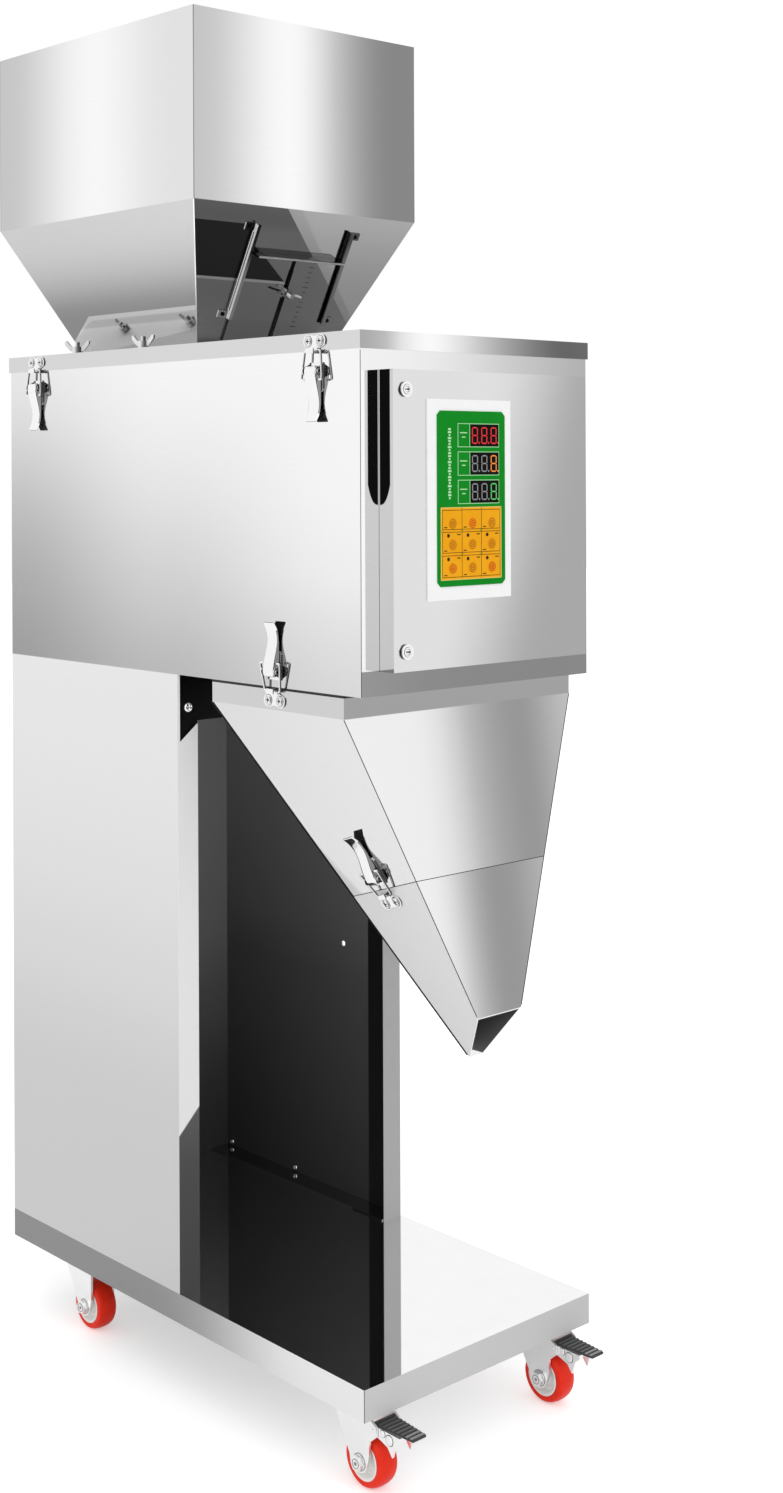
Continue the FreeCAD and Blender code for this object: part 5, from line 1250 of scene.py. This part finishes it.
def make_edge_lines():
    """Thin dark lines on the funnel's corners and joint, and on the left front corner of base and box."""
    lines = []
    for side in (-1, 1):
        for near, rate, last, radius in ((RIM_FRONT, FUNNEL_FRONT_RATE, 281.0, 0.4),
                                         (RIM_BACK, FUNNEL_BACK_RATE, 327.0, 1.1)):
            ends = [(side * funnel_half(drop), near + rate * drop, RIM_LOW - drop) for drop in (0.0, last)]
            lines.append(straight_bead(*ends, (0, 1, 0), radius))
    x, y = -HALF_WIDTH + 0.1, FRONT + 0.1
    for low, high in ((75.4, 104.2), (723.4, 1034)):
        lines.append(straight_bead((x, y, low), (x, y, high), (1, 0, 0), 0.3))
    front = (RIM_FRONT + FUNNEL_FRONT_RATE * JOINT_FRONT, RIM_LOW - JOINT_FRONT - 0.1)
    back = (RIM_BACK + FUNNEL_BACK_RATE * JOINT_BACK, RIM_LOW - JOINT_BACK - 0.1)
    for side in (-1, 1):
        ends = [(side * funnel_half(RIM_LOW - z), y, z) for y, z in (front, back)]
        lines.append(straight_bead(*ends, (1, 0, 0), 0.35))
    half = funnel_half(RIM_LOW - front[1])
    lines.append(straight_bead((-half, *front), (half, *front), (0, 0, 1), 0.35))
    piece = add_piece("sheet_edge_lines", *join_parts(lines), EDGE_SHADE, "frame", slot="stainless_sheet")
    finish_normals(piece)


def make_rim_shadow():
    """Black strips of painted shadow that show as a line between the box and the funnel's rim, in front and
    at the sides.
    """
    edge = HALF_WIDTH + 0.4
    low, high = 720.6, 722.9
    # painted shadow: black strips where the gap under the box is in shade
    shadow_blocks = [box_part((-edge, RIM_FRONT - 0.4, low), (edge, RIM_FRONT + 0.6, high)),
            box_part((-edge, RIM_FRONT + 0.6, low), (1.0 - edge, RIM_BACK, high)),
            box_part((edge - 1.0, RIM_FRONT + 0.6, low), (edge, RIM_BACK, high))]
    piece = add_piece("funnel_rim_shadow", *join_parts(shadow_blocks), RIM_SHADOW_BLACK, "frame", smooth=False,
                      slot="dark_bracket")
    finish_normals(piece)


def make_column_details():
    """Dark plates of painted shade behind the flange chamfers, the bracket's screws, and two low on the right
    wall.
    """
    screws = []
    chamfer_shade_plates = []
    for side in (-1, 1):
        # painted shade: a dark plate fills the view through each flange chamfer
        outline = np.array([(-149.0, 652), (-124, 671), (-124, 678), (-149.0, 678)]) * (-side, 1)
        chamfer_shade_plates.append(put(plate_part(outline, 0, 1.0), TOWARDS_FRONT, (0, -5.4, 0)))
        screws.append(put(screw_head(5.0, 2.2), TOWARDS_FRONT, (side * 136.1, -7.0, 689)))
    for y in (170, 290):
        screws.append(put(screw_head(3.4, 2.4), TOWARDS_LEFT, (148.4, y, 111)))
    piece = add_piece("bracket_chamfer_shade", *join_parts(chamfer_shade_plates), DARK_PAINT, "frame", smooth=False,
                      slot="dark_bracket")
    finish_normals(piece)
    piece = add_piece("small_screws", *join_parts(screws), HANDLE_WHITE, "frame", slot="bright_fittings")
    finish_normals(piece)


def cone_front():
    """Axes and origin of the cone's front face: across, down its slope, and out of it."""
    run = math.hypot(1, CONE_FRONT_RATE)
    turn = np.array([[1, 0, 0], [0, CONE_FRONT_RATE / run, -1 / run], [0, -1 / run, -CONE_FRONT_RATE / run]])
    return turn, (0, CONE_FRONT, CONE_TOP)


def make_guides():
    """Inner webs of the two guide strips, a dark groove along the left one drawn as a black strip of painted
    shade, and their foot screws.
    """
    turn, origin = cone_front()
    webs = [box_part((side * 64.4 - 0.6, 27, 0.3), (side * 64.4 + 0.6, 117, 5.0)) for side in (-1, 1)]
    webs = [put(part, turn, origin) for part in webs]
    piece = add_piece("guide_webs", *join_parts(webs), GUIDE_STEEL, "frame", smooth=False,
                      slot="bright_fittings")
    finish_normals(piece)
    # painted shade: a black strip for the groove on the left web
    grooves = [box_part((-65.3, 28, 2.4), (-65.0, 116, 3.3))]
    for side in (-1, 1):
        grooves += [shifted(screw_head(2.3, 1.6), (side * 71, drop, 1.5)) for drop in (23.0, 121.0)]
    grooves = [put(part, turn, origin) for part in grooves]
    piece = add_piece("guide_grooves", *join_parts(grooves), HANDLE_INSIDE, "frame", smooth=False,
                      slot="bright_fittings")
    finish_normals(piece)


def make_gate_details():
    """A grey bead along the gate plate's lip, a painted highlight on its edge, and scale lines beside its
    slot.
    """
    turn, origin = cone_front()
    # painted highlight: a bead along the lip's front edge
    lip_highlight = straight_bead((-57, 51.0, 12.2), (57, 51.0, 12.2), (0, 0, 1), 1.3, 12)
    piece = add_piece("gate_lip_highlight", *put(lip_highlight, turn, origin), HANDLE_GREY, "gate_plate",
                      slot="polished_hopper")
    finish_normals(piece)
    lines = []
    for step in range(13):
        half = 3.5 if step % 4 == 0 else 2.0
        drop = 62 + step * 5.7
        line = box_part((26 - half, drop - 0.3, 1.8), (26 + half, drop + 0.3, 1.95))
        lines.append(put(line, turn, origin))
    piece = add_piece("gate_scale", *join_parts(lines), DARK_INK, "gate_plate", smooth=False,
                      slot="polished_hopper")
    finish_normals(piece)


make_latches()
make_panel()
make_lock_faces()
make_wheels()
make_pedal_bosses()
make_axle_rings()
make_hopper_beads()
make_edge_lines()
make_rim_shadow()
make_column_details()
make_guides()
make_gate_details()

# Camera, floor and light
LENS = 46.77
SENSOR = 36.0
CAMERA_PLACE = (-1.29867, -1.57922, 0.92908)
CAMERA_YAW = 42.503
CAMERA_PITCH = -0.094
CAMERA_ROLL = 0.226
CAMERA_SHIFT = -0.185
FLOOR_LIGHT = 0.42
FLOOR_MIRRORED = 0.5


def set_camera():
    """Camera at the photograph's viewing angle, looking level and framed by a small downward shift."""
    lens = bpy.data.cameras.new("camera")
    camera = bpy.data.objects.new("camera", lens)
    bpy.context.scene.collection.objects.link(camera)
    lens.sensor_fit = "VERTICAL"
    lens.sensor_height = SENSOR
    lens.lens = LENS
    lens.shift_y = CAMERA_SHIFT
    lens.clip_start = 0.01
    yaw = math.radians(CAMERA_YAW)
    pitch = math.radians(CAMERA_PITCH)
    ahead = Vector((math.sin(yaw) * math.cos(pitch), math.cos(yaw) * math.cos(pitch), math.sin(pitch)))
    across = Vector((math.cos(yaw), -math.sin(yaw), 0))
    upward = across.cross(ahead)
    roll = Matrix.Rotation(math.radians(CAMERA_ROLL), 3, ahead)
    turn = Matrix((roll @ across, roll @ upward, -(roll @ ahead))).transposed()
    camera.matrix_world = Matrix.Translation(CAMERA_PLACE) @ turn.to_4x4()
    bpy.context.scene.camera = camera


def seen_directly(tree, mirrored=1.0):
    """One for rays from the camera, mirrored for rays off metal or through glass, nothing for other light."""
    path = tree.nodes.new("ShaderNodeLightPath")
    bounced = math_node(tree, "MAXIMUM", path.outputs["Is Glossy Ray"], path.outputs["Is Transmission Ray"])
    bounced = math_node(tree, "MULTIPLY", bounced, mirrored)
    return math_node(tree, "MAXIMUM", path.outputs["Is Camera Ray"], bounced)


def make_floor():
    """Plain pale floor that reads as white to the camera and to glossy metal."""
    mesh = bpy.data.meshes.new("floor")
    size = 12.0
    corners = [(-size, -size, 0), (size, -size, 0), (size, size, 0), (-size, size, 0)]
    mesh.from_pydata(corners, [], [(0, 1, 2, 3)])
    floor = bpy.data.objects.new("floor", mesh)
    bpy.context.scene.collection.objects.link(floor)
    material, tree, shader = new_material("pale floor", grey(250), 0.0, 0.7)
    shader.inputs["Emission Color"].default_value = (1, 1, 1, 1)
    own_light = math_node(tree, "MULTIPLY", seen_directly(tree, FLOOR_MIRRORED), FLOOR_LIGHT)
    tree.links.new(own_light, shader.inputs["Emission Strength"])
    mesh.materials.append(material)


def make_light():
    """Even white surroundings and one large soft lamp."""
    world = bpy.data.worlds.new("studio")
    bpy.context.scene.world = world
    world.use_nodes = True
    tree = world.node_tree
    backdrop = tree.nodes["Background"]
    backdrop.inputs["Color"].default_value = (1, 1, 1, 1)
    strength = tree.nodes.new("ShaderNodeMapRange")
    strength.inputs["To Min"].default_value = 0.8
    strength.inputs["To Max"].default_value = 1.0
    tree.links.new(seen_directly(tree), strength.inputs["Value"])
    tree.links.new(strength.outputs[0], backdrop.inputs["Strength"])
    data = bpy.data.lights.new("soft lamp", "AREA")
    data.size = 2.4
    data.energy = 14
    lamp = bpy.data.objects.new("soft lamp", data)
    lamp.location = (-1.2, -2.0, 2.6)
    lamp.rotation_euler = Vector((1.2, 2.0, -2.0)).to_track_quat("-Z", "Y").to_euler()
    bpy.context.scene.collection.objects.link(lamp)
    bpy.context.scene.view_settings.view_transform = "Standard"


set_camera()
make_floor()
make_light()
